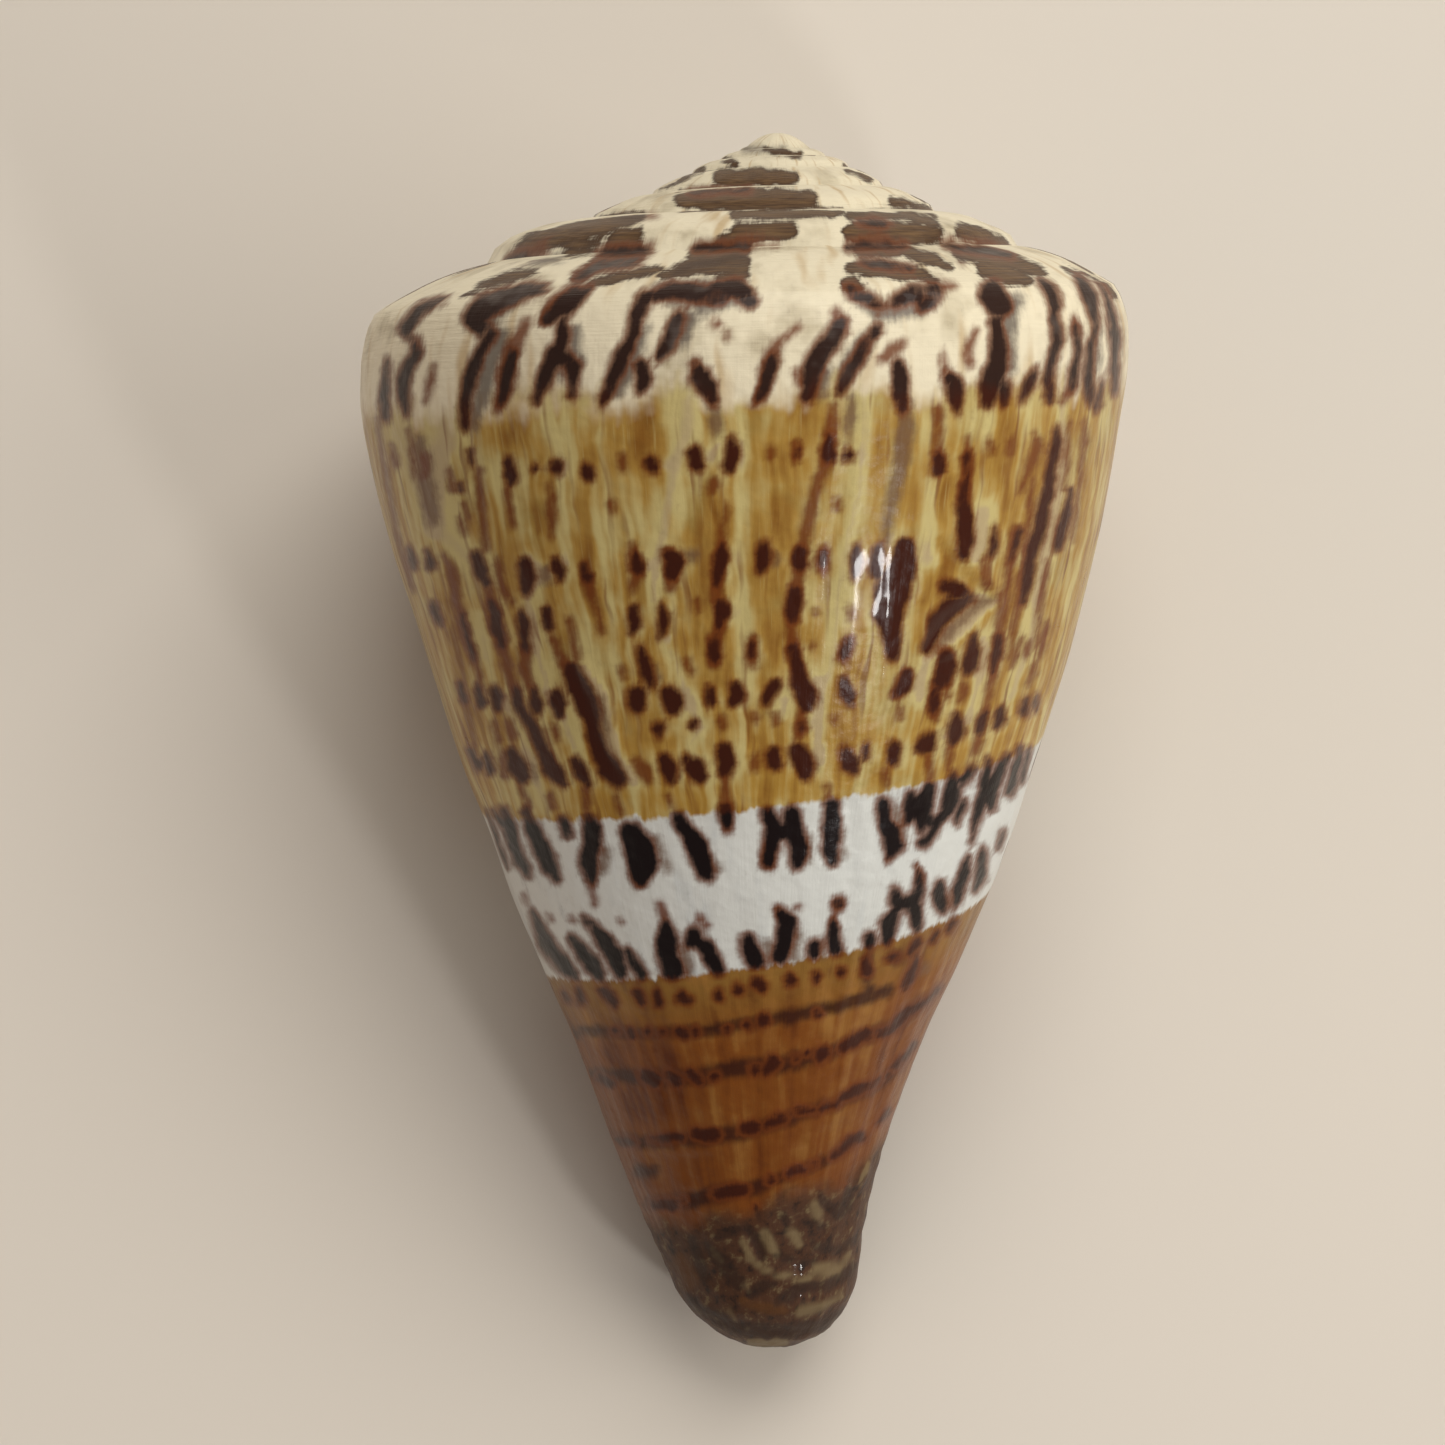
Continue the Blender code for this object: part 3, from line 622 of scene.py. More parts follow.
baseMarks = {
    "dark": (
        ((563, 992, 2), (568, 1001, 3)), ((578, 990, 3), (582, 1001, 4)),
        ((603, 990, 4), (609, 998, 6), (614, 1004, 4)), ((637, 993, 5), (641, 1001, 5)),
        ((656, 993, 5), (659, 1003, 5)), ((682, 998, 6), (687, 1000, 5)), ((717, 992, 4), (719, 999, 4)),
        ((738, 990, 6),), ((757, 984, 6), (762, 987, 6)), ((790, 980, 6),),
        ((817, 976, 5), (816, 981, 4)), ((841, 971, 5),), ((866, 963, 5), (867, 972, 5)),
        ((895, 957, 6), (888, 959, 3)), ((918, 942, 4), (911, 953, 5)), ((937, 932, 3), (931, 942, 3)),
        ((954, 920, 3), (950, 930, 3)), ((616, 1031, 4),), ((630, 1030, 4), (633, 1036, 4)),
        ((648, 1031, 4),), ((662, 1033, 4),), ((680, 1032, 5), (684, 1036, 5)), ((697, 1032, 4),),
        ((727, 1029, 3),), ((747, 1026, 4),), ((764, 1021, 6),), ((818, 1014, 4),),
        ((905, 986, 4), (912, 974, 5), (917, 960, 4)), ((599, 1078, 4), (611, 1084, 5)),
        ((644, 1075, 6), (655, 1080, 7)), ((669, 1074, 5), (677, 1082, 6)),
        ((690, 1072, 5), (697, 1080, 5)), ((714, 1077, 6),), ((773, 1062, 7), (766, 1072, 5)),
        ((754, 1070, 6),), ((795, 1059, 4),), ((808, 1053, 4),), ((824, 1053, 7), (820, 1060, 5)),
        ((844, 1048, 5), (856, 1040, 6), (867, 1035, 6)),
        ((880, 1033, 5), (894, 1028, 5), (901, 1018, 5), (910, 1010, 5), (924, 1001, 3), (940, 989, 2)),
        ((618, 1139, 4), (631, 1143, 5)), ((652, 1139, 3), (680, 1138, 5)),
        ((697, 1133, 6), (713, 1135, 7)), ((744, 1127, 5), (755, 1128, 6)),
        ((766, 1126, 4), (781, 1117, 6)), ((799, 1110, 5), (812, 1110, 3)),
        ((821, 1110, 3), (836, 1103, 4)), ((843, 1098, 4), (859, 1090, 6), (881, 1079, 3)),
        ((892, 1068, 3), (904, 1059, 4), (916, 1044, 3)), ((654, 1205, 5), (673, 1205, 7)),
        ((683, 1200, 4),), ((715, 1193, 5), (743, 1191, 7)), ((770, 1180, 5),),
        ((789, 1173, 4), (801, 1168, 5)), ((815, 1163, 3),),
        ((833, 1156, 3), (849, 1144, 5), (862, 1136, 5)), ((877, 1124, 3), (889, 1110, 3)),
    ),
    "rust": (
        ((572, 1030, 3), (577, 1035, 4)), ((585, 1030, 3),), ((599, 1030, 4),), ((713, 1029, 4),),
        ((696, 1032, 6),), ((788, 1018, 5), (806, 1014, 4)), ((836, 1007, 5), (846, 1001, 3)),
        ((853, 1003, 4), (868, 999, 4), (870, 988, 4)), ((884, 993, 4),), ((733, 1067, 6),),
        ((795, 1056, 5), (796, 1066, 4)), ((895, 957, 8),), ((866, 960, 6), (867, 980, 5)),
        ((566, 1030, 3), (620, 1033, 4), (700, 1032, 5), (765, 1021, 5), (836, 1006, 5), (890, 990, 4)),
        ((590, 1074, 5), (660, 1078, 7), (700, 1077, 8), (735, 1068, 7), (775, 1065, 7), (820, 1056, 7)),
        ((820, 1056, 7), (850, 1044, 6), (872, 1034, 6), (898, 1024, 5), (925, 1000, 4), (942, 988, 3)),
        ((605, 1136, 4), (640, 1142, 6), (680, 1140, 6), (712, 1136, 8), (752, 1130, 7), (782, 1120, 6)),
        ((782, 1120, 6), (808, 1112, 5), (835, 1104, 5), (862, 1092, 6), (884, 1080, 4), (905, 1058, 4)),
        ((650, 1204, 6), (680, 1202, 6), (715, 1194, 8), (748, 1190, 7), (775, 1180, 5), (800, 1170, 5)),
        ((800, 1170, 5), (830, 1158, 4), (850, 1144, 5), (864, 1136, 4)),
        ((640, 1172, 6), (655, 1170, 5)),
    ),
    "grey": (
        ((906, 1012, 5), (918, 1000, 4)), ((924, 966, 5), (912, 976, 5)),
    ),
}
tipMarks = {
    "dark": (
        ((745, 1225, 5), (756, 1238, 6), (762, 1256, 5)),
        ((716, 1236, 4), (738, 1230, 5), (752, 1231, 4)),
        ((708, 1246, 5), (726, 1266, 9), (738, 1284, 8)),
        ((692, 1240, 6), (700, 1262, 6), (704, 1280, 5)),
        ((776, 1256, 4), (796, 1262, 5), (816, 1262, 4)),
        ((822, 1254, 4), (840, 1250, 5), (856, 1238, 4)),
        ((752, 1294, 6), (764, 1286, 6), (776, 1284, 3)),
        ((780, 1300, 6), (800, 1290, 7), (826, 1286, 6), (844, 1276, 6), (855, 1264, 4)),
        ((812, 1222, 5), (824, 1228, 4)),
        ((820, 1196, 5), (828, 1206, 6), (838, 1213, 8), (846, 1204, 8), (848, 1190, 5)),
        ((812, 1240, 4), (816, 1246, 5), (830, 1244, 3)),
        ((722, 1322, 6), (750, 1331, 8), (790, 1332, 8), (824, 1324, 7), (844, 1310, 4)),
        ((688, 1298, 4), (704, 1311, 6), (724, 1316, 4)), ((756, 1208, 4), (760, 1218, 4)),
        ((783, 1216, 4), (788, 1224, 4)),
    ),
}

# Soft patches of cream in the yellow (above 0) and of deeper ochre (below 0): strength, points.
softPatches = (
    (0.9, ((445, 405, 22), (448, 440, 20), (435, 480, 12), (432, 530, 8))),
    (0.7, ((545, 415, 8), (560, 450, 10), (562, 500, 8), (565, 560, 7))),
    (0.6, ((590, 405, 12), (590, 440, 10))),
    (0.9, ((688, 400, 15), (686, 432, 14), (672, 480, 10), (664, 530, 12), (655, 570, 8), (655, 600, 7))),
    (0.4, ((738, 400, 14), (742, 470, 8), (740, 530, 9), (742, 590, 9), (740, 640, 8), (742, 700, 7))),
    (0.9, ((718, 445, 8), (712, 458, 6))),
    (0.8, ((865, 400, 10), (865, 440, 9), (858, 500, 8), (848, 540, 9), (838, 600, 7), (830, 680, 8))),
    (0.7, ((930, 480, 7), (930, 560, 8))),
    (1.0, ((985, 508, 8), (980, 545, 9), (975, 558, 8))),
    (0.9, ((1062, 400, 8), (1060, 470, 8), (1052, 530, 7), (1042, 580, 6), (1030, 640, 7), (1010, 700, 6))),
    (0.9, ((530, 560, 10), (528, 600, 7), (536, 650, 7), (548, 690, 6), (566, 725, 7), (575, 750, 6))),
    (1.2, ((583, 668, 4), (600, 690, 5), (607, 712, 5), (612, 742, 6), (620, 762, 5), (634, 780, 7))),
    (0.7, ((612, 600, 7), (612, 650, 6), (620, 700, 6))),
    (0.8, ((665, 640, 7), (680, 676, 7), (700, 730, 8), (690, 745, 6))),
    (1.1, ((818, 680, 5), (818, 720, 7), (820, 760, 6))),
    (1.0, ((786, 700, 6), (782, 716, 5))),
    (1.1, ((545, 575, 9),)),
    (1.2, ((1000, 600, 3), (985, 612, 3), (965, 632, 3), (945, 648, 3), (925, 659, 3))),
    (1.0, ((925, 665, 7), (920, 700, 6))),
    (0.9, ((985, 640, 6), (980, 680, 6), (968, 720, 4), (945, 735, 4))),
    (0.8, ((505, 700, 5), (512, 720, 6), (528, 750, 7), (540, 790, 8), (548, 812, 8))),
    (0.7, ((480, 615, 5), (488, 660, 5), (500, 700, 4))),
    (0.7, ((760, 280, 12), (800, 270, 22), (810, 300, 26))),
    (0.9, ((880, 289, 12), (890, 287, 8))),
    (0.8, ((900, 258, 4), (930, 268, 5), (960, 274, 7))),
    (-0.9, ((520, 415, 14), (508, 440, 15))),
    (-0.8, ((640, 410, 16), (640, 440, 14))),
    (-0.5, ((800, 405, 18), (800, 430, 18), (780, 470, 10))),
    (-0.6, ((780, 500, 12), (778, 560, 8), (772, 610, 12), (775, 660, 8))),
    (-0.6, ((705, 500, 12), (700, 590, 10), (697, 640, 10))),
    (-0.8, ((537, 510, 9), (540, 530, 6))),
    (-0.7, ((938, 540, 5), (945, 565, 8), (925, 600, 8))),
    (-0.6, ((450, 600, 7), (460, 640, 8), (472, 740, 8))),
    (-0.5, ((990, 460, 10), (1008, 500, 12), (1000, 480, 10))),
    (-0.5, ((880, 770, 12), (905, 775, 14))),
    (-0.5, ((765, 795, 12), (760, 740, 8))),
    (0.5, ((640, 968, 4), (700, 975, 6), (720, 1010, 4), (735, 1035, 6), (737, 1050, 5))),
    (0.4, ((712, 1040, 8), (715, 1110, 8))),
    (0.4, ((615, 995, 8), (630, 1015, 5))),
    (0.6, ((612, 1070, 3), (622, 1085, 3))),
    (0.5, ((660, 1148, 3), (700, 1143, 3))),
    (0.4, ((738, 1165, 10), (748, 1180, 8))),
    (-0.7, ((788, 990, 10), (790, 1030, 12))),
    (-0.5, ((660, 1050, 20), (680, 1100, 18))),
    (0.5, ((825, 985, 6), (828, 1020, 9))),
    (0.9, ((743, 1242, 4), (750, 1258, 4), (764, 1269, 5), (786, 1277, 4), (812, 1281, 4), (838, 1274, 4))),
    (1.0, ((764, 1234, 6), (770, 1246, 7), (776, 1254, 4))),
    (0.9, ((792, 1234, 7), (798, 1243, 6))),
    (0.8, ((814, 1204, 6), (818, 1216, 7))),
    (0.7, ((712, 1248, 3), (720, 1260, 4))),
    (0.6, ((745, 1284, 5), (750, 1292, 4))),
    (0.9, ((816, 1268, 6), (834, 1268, 5), (850, 1258, 5))),
    (0.8, ((800, 1312, 7), (822, 1306, 6), (842, 1294, 4))),
    (0.5, ((728, 1310, 5), (734, 1318, 4))),
    (1.3, ((750, 1344, 4), (784, 1343, 4))),
    (1.2, ((868, 1163, 3), (861, 1182, 3))),
    (-0.9, ((742, 1302, 5), (762, 1308, 6), (784, 1310, 5))),
    (-0.9, ((680, 1260, 9), (690, 1282, 9))),
    (-0.5, ((620, 1050, 24), (650, 1110, 22))),
    (0.5, ((870, 1010, 14), (860, 1070, 14), (830, 1130, 14), (800, 1150, 12))),
    (0.8, ((400, 430, 24), (420, 480, 26), (440, 530, 20), (470, 560, 12))),
    (0.6, ((500, 480, 18), (520, 530, 14))),
    (1.1, ((987, 600, 7), (966, 619, 8), (943, 643, 6))),
)
seenMarks = (shoulderMarks, spireMarks, yellowMarks, whiteMarks, baseMarks, tipMarks)

# The side that the photograph doesn't show carries the same rows. Each row: kind, measure in mm,
# run across and along of a mark, half its width, and the distance from one to the next.
hiddenRows = (
    ("brown", 2.8, (1.5, 5.0), 1.9, 13.0),
    ("brown", 5.6, (2.5, 3.0), 1.3, 17.0),
    ("dark", 6.2, (1.2, 2.6), 0.45, 9.0),
    ("dark", 9.6, (-1.0, 4.6), 0.42, 4.0),
    ("dark", 12.8, (-0.4, 3.4), 0.45, 3.6),
    ("rust", 11.4, (-0.7, 3.6), 0.30, 7.5),
    ("grey", 9.0, (-0.8, 3.0), 0.8, 7.0),
    ("grey", 13.0, (0.3, 3.0), 0.5, 8.0),
    ("dark", 18.3, (0.0, 0.7), 0.42, 2.7),
    ("rust", 21.3, (0.1, 3.6), 0.26, 3.4),
    ("dark", 21.0, (0.3, 5.0), 0.32, 12.0),
    ("dark", 24.4, (0.1, 1.3), 0.46, 3.2),
    ("rust", 25.0, (0.1, 2.6), 0.34, 4.4),
    ("rust", 29.2, (0.4, 5.4), 0.30, 2.6),
    ("dark", 29.6, (0.5, 3.0), 0.36, 5.5),
    ("dark", 33.3, (0.1, 0.9), 0.48, 2.5),
    ("dark", 35.3, (0.0, 0.3), 0.36, 3.4),
    ("dark", 38.1, (0.2, 1.0), 0.50, 2.4),
    ("rust", 40.0, (0.0, 0.7), 0.24, 4.6),
    ("dark", 43.7, (0.4, 2.6), 0.55, 2.9),
    ("dark", 50.6, (0.5, 2.3), 0.50, 2.7),
    ("rust", 47.9, (0.2, 0.4), 0.24, 6.5),
    ("dark", 54.5, (0.3, 0.5), 0.32, 1.7),
    ("dark", 57.2, (0.5, 0.1), 0.28, 2.2),
    ("dark", 60.2, (0.7, 0.2), 0.38, 2.0),
    ("dark", 64.3, (1.6, 0.0), 0.36, 3.0),
    ("dark", 68.2, (1.7, 0.0), 0.36, 3.1),
)

# Marks are painted as strokes: the value is 0 at a stroke's edge, above 0 inside it.
brush = {
    "edge": 0.5,  # mm from a stroke's edge to the value 1 or -1
    "tremble": 1.8,  # pixels that the seen strokes waver
    "trembleSize": (8, 9),  # pixels across and down
    "hiddenFrom": 0.02,  # how little of the surface faces the camera where the unseen side starts
    "hiddenBlend": 0.14,
    "plainTop": (3.0, 1.2),  # the first whorls carry no marks on that side: radius and blend in mm
    "paleBeside": 0.5,  # the strength of the cream beside the dots in the yellow
    "besideBy": 5,  # pixels
}
# How the unseen marks vary, as parts of a row's own numbers.
uneven = {
    "size": (0.6, 1.25),
    "startWidth": (0.5, 0.9),
    "endWidth": (0.4, 0.8),
    "spacing": (0.55, 1.45),
    "offRow": 0.12,
    "bend": 0.15,
}


# Which points lie near each length of a stroke, how far off they are, and half its width there.
def brushed(stroke, across, down, unit, reach):
    line = np.array(stroke + stroke[-1:], float) * unit
    for (ax, ay, aw), (bx, by, bw) in zip(line, line[1:]):
        limit = reach(max(aw, bw))
        near = (abs(across - (ax + bx) / 2) < abs(ax - bx) / 2 + limit) & (
            abs(down - (ay + by) / 2) < abs(ay - by) / 2 + limit
        )
        if near.any():
            x, y = across[near] - ax, down[near] - ay
            runX, runY = bx - ax, by - ay
            part = np.clip((x * runX + y * runY) / max(runX**2 + runY**2, 1e-9), 0, 1)
            yield near, np.hypot(x - part * runX, y - part * runY), aw + (bw - aw) * part


def paintStrokes(strokes, across, down, unit):
    value = np.full(across.shape, -1.0)
    for stroke in strokes:
        for near, gap, half in brushed(stroke, across, down, unit, lambda w: w + brush["edge"]):
            value[near] = np.maximum(value[near], (half - gap) / brush["edge"])
    return np.minimum(value, 1)


def paintPatches(patches, across, down, unit):
    total = np.zeros(across.shape)
    for strength, stroke in patches:
        patch = np.zeros(across.shape)
        for near, gap, half in brushed(stroke, across, down, unit, lambda w: 2.2 * w):
            patch[near] = np.maximum(patch[near], np.exp(-((gap / half) ** 2)))
        total += strength * patch
    return total


def besideDots():  # a pale patch on the right of each dark mark in the yellow
    return tuple(
        (brush["paleBeside"], tuple((x + half + brush["besideBy"], y, half + 1) for x, y, half in stroke))
        for stroke in yellowMarks["dark"]
    )


def facing(points, normals):
    across, up, back, middle = cameraWays()
    toCamera = middle + back * camera["distance"] - points
    return (normals * toCamera).sum(-1) / np.linalg.norm(toCamera, axis=-1)


drift = {  # how much the bands climb from the left side to the right
    "bands": 2.4,  # mm, once well below the shoulder
    "power": 1.8,
    "from": 18.0,
    "over": 22.0,
    "base": 0.07,  # and more for each mm past this
    "baseFrom": 56.0,
    "reach": (-0.25, 1.4),  # half turns from the left side
}


def climbed(angles, heights):
    down = heights[:, None] + np.zeros_like(angles)[None, :]
    climb = drift["bands"] * eased((down - drift["from"]) / drift["over"])
    climb += drift["base"] * np.maximum(down - drift["baseFrom"], 0)
    part = np.clip((left - angles) / math.pi, *drift["reach"])
    return down + climb * np.sign(part) * abs(part) ** drift["power"]


def hiddenStrokes(row, radius, angles, random):
    kind, measure, (run, rise), half, every = row
    strokes = []
    x = angles[0] * radius
    while x < angles[-1] * radius:
        size = random.uniform(*uneven["size"])
        middle = measure + random.normal(0, uneven["offRow"] * (abs(rise) + 1))
        bend = random.normal(0, uneven["bend"] * half)
        startWidth = half * size * random.uniform(*uneven["startWidth"])
        endWidth = half * size * random.uniform(*uneven["endWidth"])
        strokes.append((
            (x - run * size / 2, middle - rise * size / 2, startWidth),
            (x + bend, middle, half * size),
            (x + run * size / 2, middle + rise * size / 2, endWidth),
        ))
        x += every * random.uniform(*uneven["spacing"])
    return strokes


def paintHidden(kind, angles, heights, radii):
    measures = climbed(angles, heights)
    value = np.full(measures.shape, -1.0)
    for number, row in enumerate(hiddenRows):
        measure, rise = row[1], row[2][1]
        rows = (abs(measures - measure) < abs(rise) + 3 * row[3] + 1.2).any(axis=1)
        if row[0] == kind and rows.any() and measure < heights[-1] + 1:
            radius = radii[rows].mean()
            strokes = hiddenStrokes(row, radius, angles, np.random.default_rng(100 + number))
            across = np.broadcast_to(angles * radius, (rows.sum(), len(angles)))
            value[rows] = np.maximum(value[rows], paintStrokes(strokes, across, measures[rows], 1.0))
    return value


def paintedLayers(points, angles, heights):
    across, down = seenAt(points)
    wide, long = brush["trembleSize"]
    across = across + brush["tremble"] * softNoise(across / wide, down / long, 21)
    down = down + brush["tremble"] * softNoise(across / wide, down / long, 22)
    unit = 1 / camera["pixelsPerMm"]
    hidden = 1 - eased((facing(points, normalsOf(points)) - brush["hiddenFrom"]) / brush["hiddenBlend"])
    seen = hidden < 1
    radii = np.hypot(points[..., 0], points[..., 2])
    layers = {}
    for kind in ("dark", "rust", "grey", "brown"):
        front = np.full(hidden.shape, -1.0)
        strokes = [stroke for marks in seenMarks for stroke in marks.get(kind, ())]
        front[seen] = paintStrokes(strokes, across[seen] * unit, down[seen] * unit, unit)
        back = paintHidden(kind, angles, heights, radii)
        back = back - 2 * eased((brush["plainTop"][0] - radii) / brush["plainTop"][1])
        layers[kind] = np.maximum(np.maximum(front - 2 * hidden, back - 2 * (1 - hidden)), -1)
    tint = np.zeros(hidden.shape)
    tint[seen] = paintPatches(softPatches + besideDots(), across[seen] * unit, down[seen] * unit, unit)
    layers["tint"] = np.clip(tint, -1, 1) * (1 - hidden)
    return layers


# What stands proud of the shell or is worn into it: height in mm, then where, in pixels.
proudMarks = (
    (-0.12, ((944, 548, 6), (955, 564, 6), (968, 580, 6), (986, 592, 5))),
    (0.12, ((952, 538, 6), (964, 556, 6), (978, 574, 6), (994, 586, 5))),
    (-0.30, ((978, 604, 8), (960, 616, 10), (944, 632, 10), (932, 648, 7))),
    (0.16, ((1000, 604, 5), (984, 620, 5), (964, 638, 5), (944, 652, 5), (925, 662, 5))),
    (0.14, ((583, 668, 5), (600, 694, 6), (609, 716, 6), (616, 746, 7), (632, 778, 7))),
    (-0.10, ((572, 672, 6), (588, 708, 7), (596, 740, 7), (610, 766, 7))),
    (0.30, ((944, 234, 9), (960, 238, 9))),
    (0.22, ((876, 290, 14), (888, 288, 10))),
    (-0.22, ((926, 303, 5), (934, 303, 5))),
    (-0.16, ((905, 304, 6), (880, 308, 6))),
    (-0.10, ((468, 402, 4), (466, 440, 4), (474, 480, 4), (484, 545, 3))),
    (0.08, ((482, 405, 5), (482, 450, 5), (492, 500, 4))),
    (-0.09, ((852, 400, 9), (848, 460, 9), (834, 540, 8), (828, 600, 7))),
    (0.10, ((906, 400, 11), (904, 450, 12), (894, 520, 9), (890, 600, 9), (884, 680, 7))),
    (-0.07, ((742, 400, 8), (744, 470, 7), (742, 560, 7), (740, 640, 7))),
    (0.07, ((690, 395, 13), (680, 460, 10), (664, 540, 10))),
    (-0.06, ((848, 800, 7), (852, 860, 6), (846, 930, 6), (826, 1010, 6))),
    (0.06, ((866, 800, 7), (868, 860, 6), (860, 930, 6), (840, 1010, 6))),
    (0.07, ((640, 1150, 4), (680, 1149, 4), (722, 1146, 4))),
    (-0.08, ((640, 1162, 5), (690, 1160, 5), (730, 1156, 5))),
    (0.08, ((545, 574, 7), (546, 582, 7))),
    (0.08, ((743, 1242, 5), (750, 1258, 5), (764, 1269, 5), (786, 1277, 5), (812, 1281, 5), (838, 1274, 5))),
    (-0.07, ((775, 1257, 4), (796, 1262, 5), (816, 1262, 4), (840, 1258, 4))),
    (-0.08, ((752, 1292, 5), (780, 1298, 5), (800, 1290, 5), (826, 1286, 5), (848, 1274, 4))),
    (0.08, ((760, 1308, 5), (785, 1312, 5), (815, 1308, 5), (842, 1296, 5))),
    (-0.06, ((716, 1318, 5), (750, 1328, 6), (790, 1330, 6), (830, 1320, 5))),
    (-0.06, ((745, 1225, 4), (756, 1240, 4), (762, 1256, 4))),
    (0.06, ((766, 1232, 5), (772, 1250, 5))),
    (0.06, ((814, 1204, 5), (818, 1220, 5))),
    (-0.06, ((826, 1206, 5), (846, 1200, 5))),
    (0.06, ((886, 617, 14),)),
    (0.05, ((908, 636, 11),)),
    (0.04, ((884, 690, 11),)),
    (0.04, ((858, 762, 11),)),
    (0.04, ((860, 822, 11),)),
    (0.14, ((868, 1163, 4), (861, 1182, 4))),
)

relief = {
    "waves": (  # height, width and length in mm, then the seed
        (0.03, 1.3, 13, 3),  # growth lines
        (0.06, 3.4, 34, 4),  # broader growth waves
        (0.09, 9, 17, 5),  # shallow dents
        (0.035, 6, 3.4, 10),  # ripples that run round
    ),
    "cords": 0.05,  # the low cords that run round near the tip
    "cordsFrom": 60.0,
    "cordsOver": 12.0,
    "cordSpacing": 1.7,
    "ramp": 0.16,
    "bodyRadius": 22,  # turns an angle into mm
    "spireRadius": 14,
    "opensOver": 5,  # mm from a sheet's first edge to its full relief
}


def spreadOver(angles, heights, radius):  # mm round the shell and mm down it, at every point
    across = angles[None, :] * radius + np.zeros_like(heights)[:, None]
    return across, heights[:, None] + np.zeros_like(angles)[None, :]


def opened(angles):
    return eased((angles - start) * relief["bodyRadius"] / relief["opensOver"])


def bodyRelief(angles, heights):
    across, down = spreadOver(angles, heights, relief["bodyRadius"])
    radius = sheetProfile(angles, heights)[..., 0]
    lines = sum(
        height * softNoise(across / width, down / length, seed)
        for height, width, length, seed in relief["waves"]
    )
    lines *= eased(radius / 14)
    base = eased((down - relief["cordsFrom"]) / relief["cordsOver"])
    ridge = np.sin(math.tau * down / relief["cordSpacing"] + 3 * softNoise(across / 12, down / 5, 7))
    lines += relief["cords"] * base * ridge * (0.5 + 0.6 * softNoise(across / 4, down / 2, 8))
    return lines * opened(angles) * eased(down / grid["blendOver"])


def spireRelief(angles, heights):
    across, down = spreadOver(angles, heights, relief["spireRadius"])
    window = np.sin(math.pi * np.clip(down / attachMeasure, 0, 1))
    size = sheetProfile(angles, heights[[-1]])[0, :, 0] / 26
    return relief["ramp"] * window * size * softNoise(across / 2.2, down / 3, 9)


def proud(points):  # the height of what is seen to stand proud of each point
    across, down = seenAt(points)
    seen = facing(points, normalsOf(points)) > brush["hiddenFrom"]
    height = np.zeros(across.shape)
    height[seen] = paintPatches(proudMarks, across[seen], down[seen], 1.0)
    return height


def layersOf(angles, heights, **values):
    turns = (angles / math.tau)[None, :] + np.zeros_like(heights)[:, None]
    return dict(turn=turns, measure=climbed(angles, heights), sheet=1.0, **values)


def growBody():
    flat = placed(sheetProfile(bodyAngles, measures), bodyAngles)
    height = bodyRelief(bodyAngles, measures) + proud(flat) * opened(bodyAngles)
    return flat + normalsOf(flat) * height[..., None]


def growSpire():
    heights = measures[: attachIndex + 1]
    profile = sheetProfile(spireAngles, heights)
    first = spireAngles < spireAngles[0] + math.tau - 1e-6
    crest = profile[np.searchsorted(heights, rowMeasure[rampRows])]
    part = np.minimum(heights / rowMeasure[rampRows], 1)[:, None]
    dome = np.stack((crest[None, :, 0] * part, crest[None, :, 1] * part**2), -1)
    below = heights <= rowMeasure[rampRows]
    profile[np.ix_(below, first)] = dome[np.ix_(below, first)]
    flat = placed(profile, spireAngles)
    window = eased(np.minimum(heights, attachMeasure - heights) / grid["blendOver"])[:, None]
    height = spireRelief(spireAngles, heights) + proud(flat) * window
    return flat + normalsOf(flat) * height[..., None]


def growFold(body, inside):  # the rounded edge of the lip
    outer = body[:, -1]
    root = body[rootIndex, 0]
    inner = np.vstack((np.repeat(root[None], linedIndex, 0), inside[linedIndex:, -1]))
    turned = math.pi * np.arange(foldSteps + 1) / foldSteps
    across = (1 - np.cos(turned)) / 2
    points = outer[:, None] + (inner - outer)[:, None] * across[None, :, None]
    free = eased(np.arange(len(outer)) / linedIndex)
    toTip = eased(1 - (tipMeasure - measures) / grid["lipEndsOver"])
    down = outer[-1] - outer[-2]
    down /= np.linalg.norm(down)
    push = tangents(np.array([lip])) + down * toTip[:, None]
    points += grid["lipRounding"] * np.sin(turned)[None, :, None] * (push * free[:, None])[:, None]
    seam = body[attachIndex : rootIndex + 1, 0] - points[0]
    return points + seam[None] * (1 - free)[:, None, None]


def growRim(body, inside):  # the rounded edge of the canal's end
    outer = body[-1, -len(rimAngles):]
    innerEdge = np.stack([np.interp(rimAngles, insideAngles, inside[-1, :, k]) for k in range(3)], -1)
    turned = math.pi * np.arange(foldSteps + 1) / foldSteps
    across = (1 - np.cos(turned)) / 2
    points = outer[None] + (innerEdge - outer)[None] * across[:, None, None]
    down = outer - body[-2, -len(rimAngles):]
    down /= np.linalg.norm(down, axis=-1, keepdims=True)
    toLip = (lip - rimAngles) * np.linalg.norm(outer[:, ::2], axis=-1)
    toLip = eased(1 - toLip / grid["lipEndsOver"])
    push = down + tangents(rimAngles[-1:]) * toLip[:, None]
    return points + grid["lipRounding"] * np.sin(turned)[:, None, None] * push[None]


def findChain(tree, points):
    return [tree.find(place)[1] for place in resting(points)]


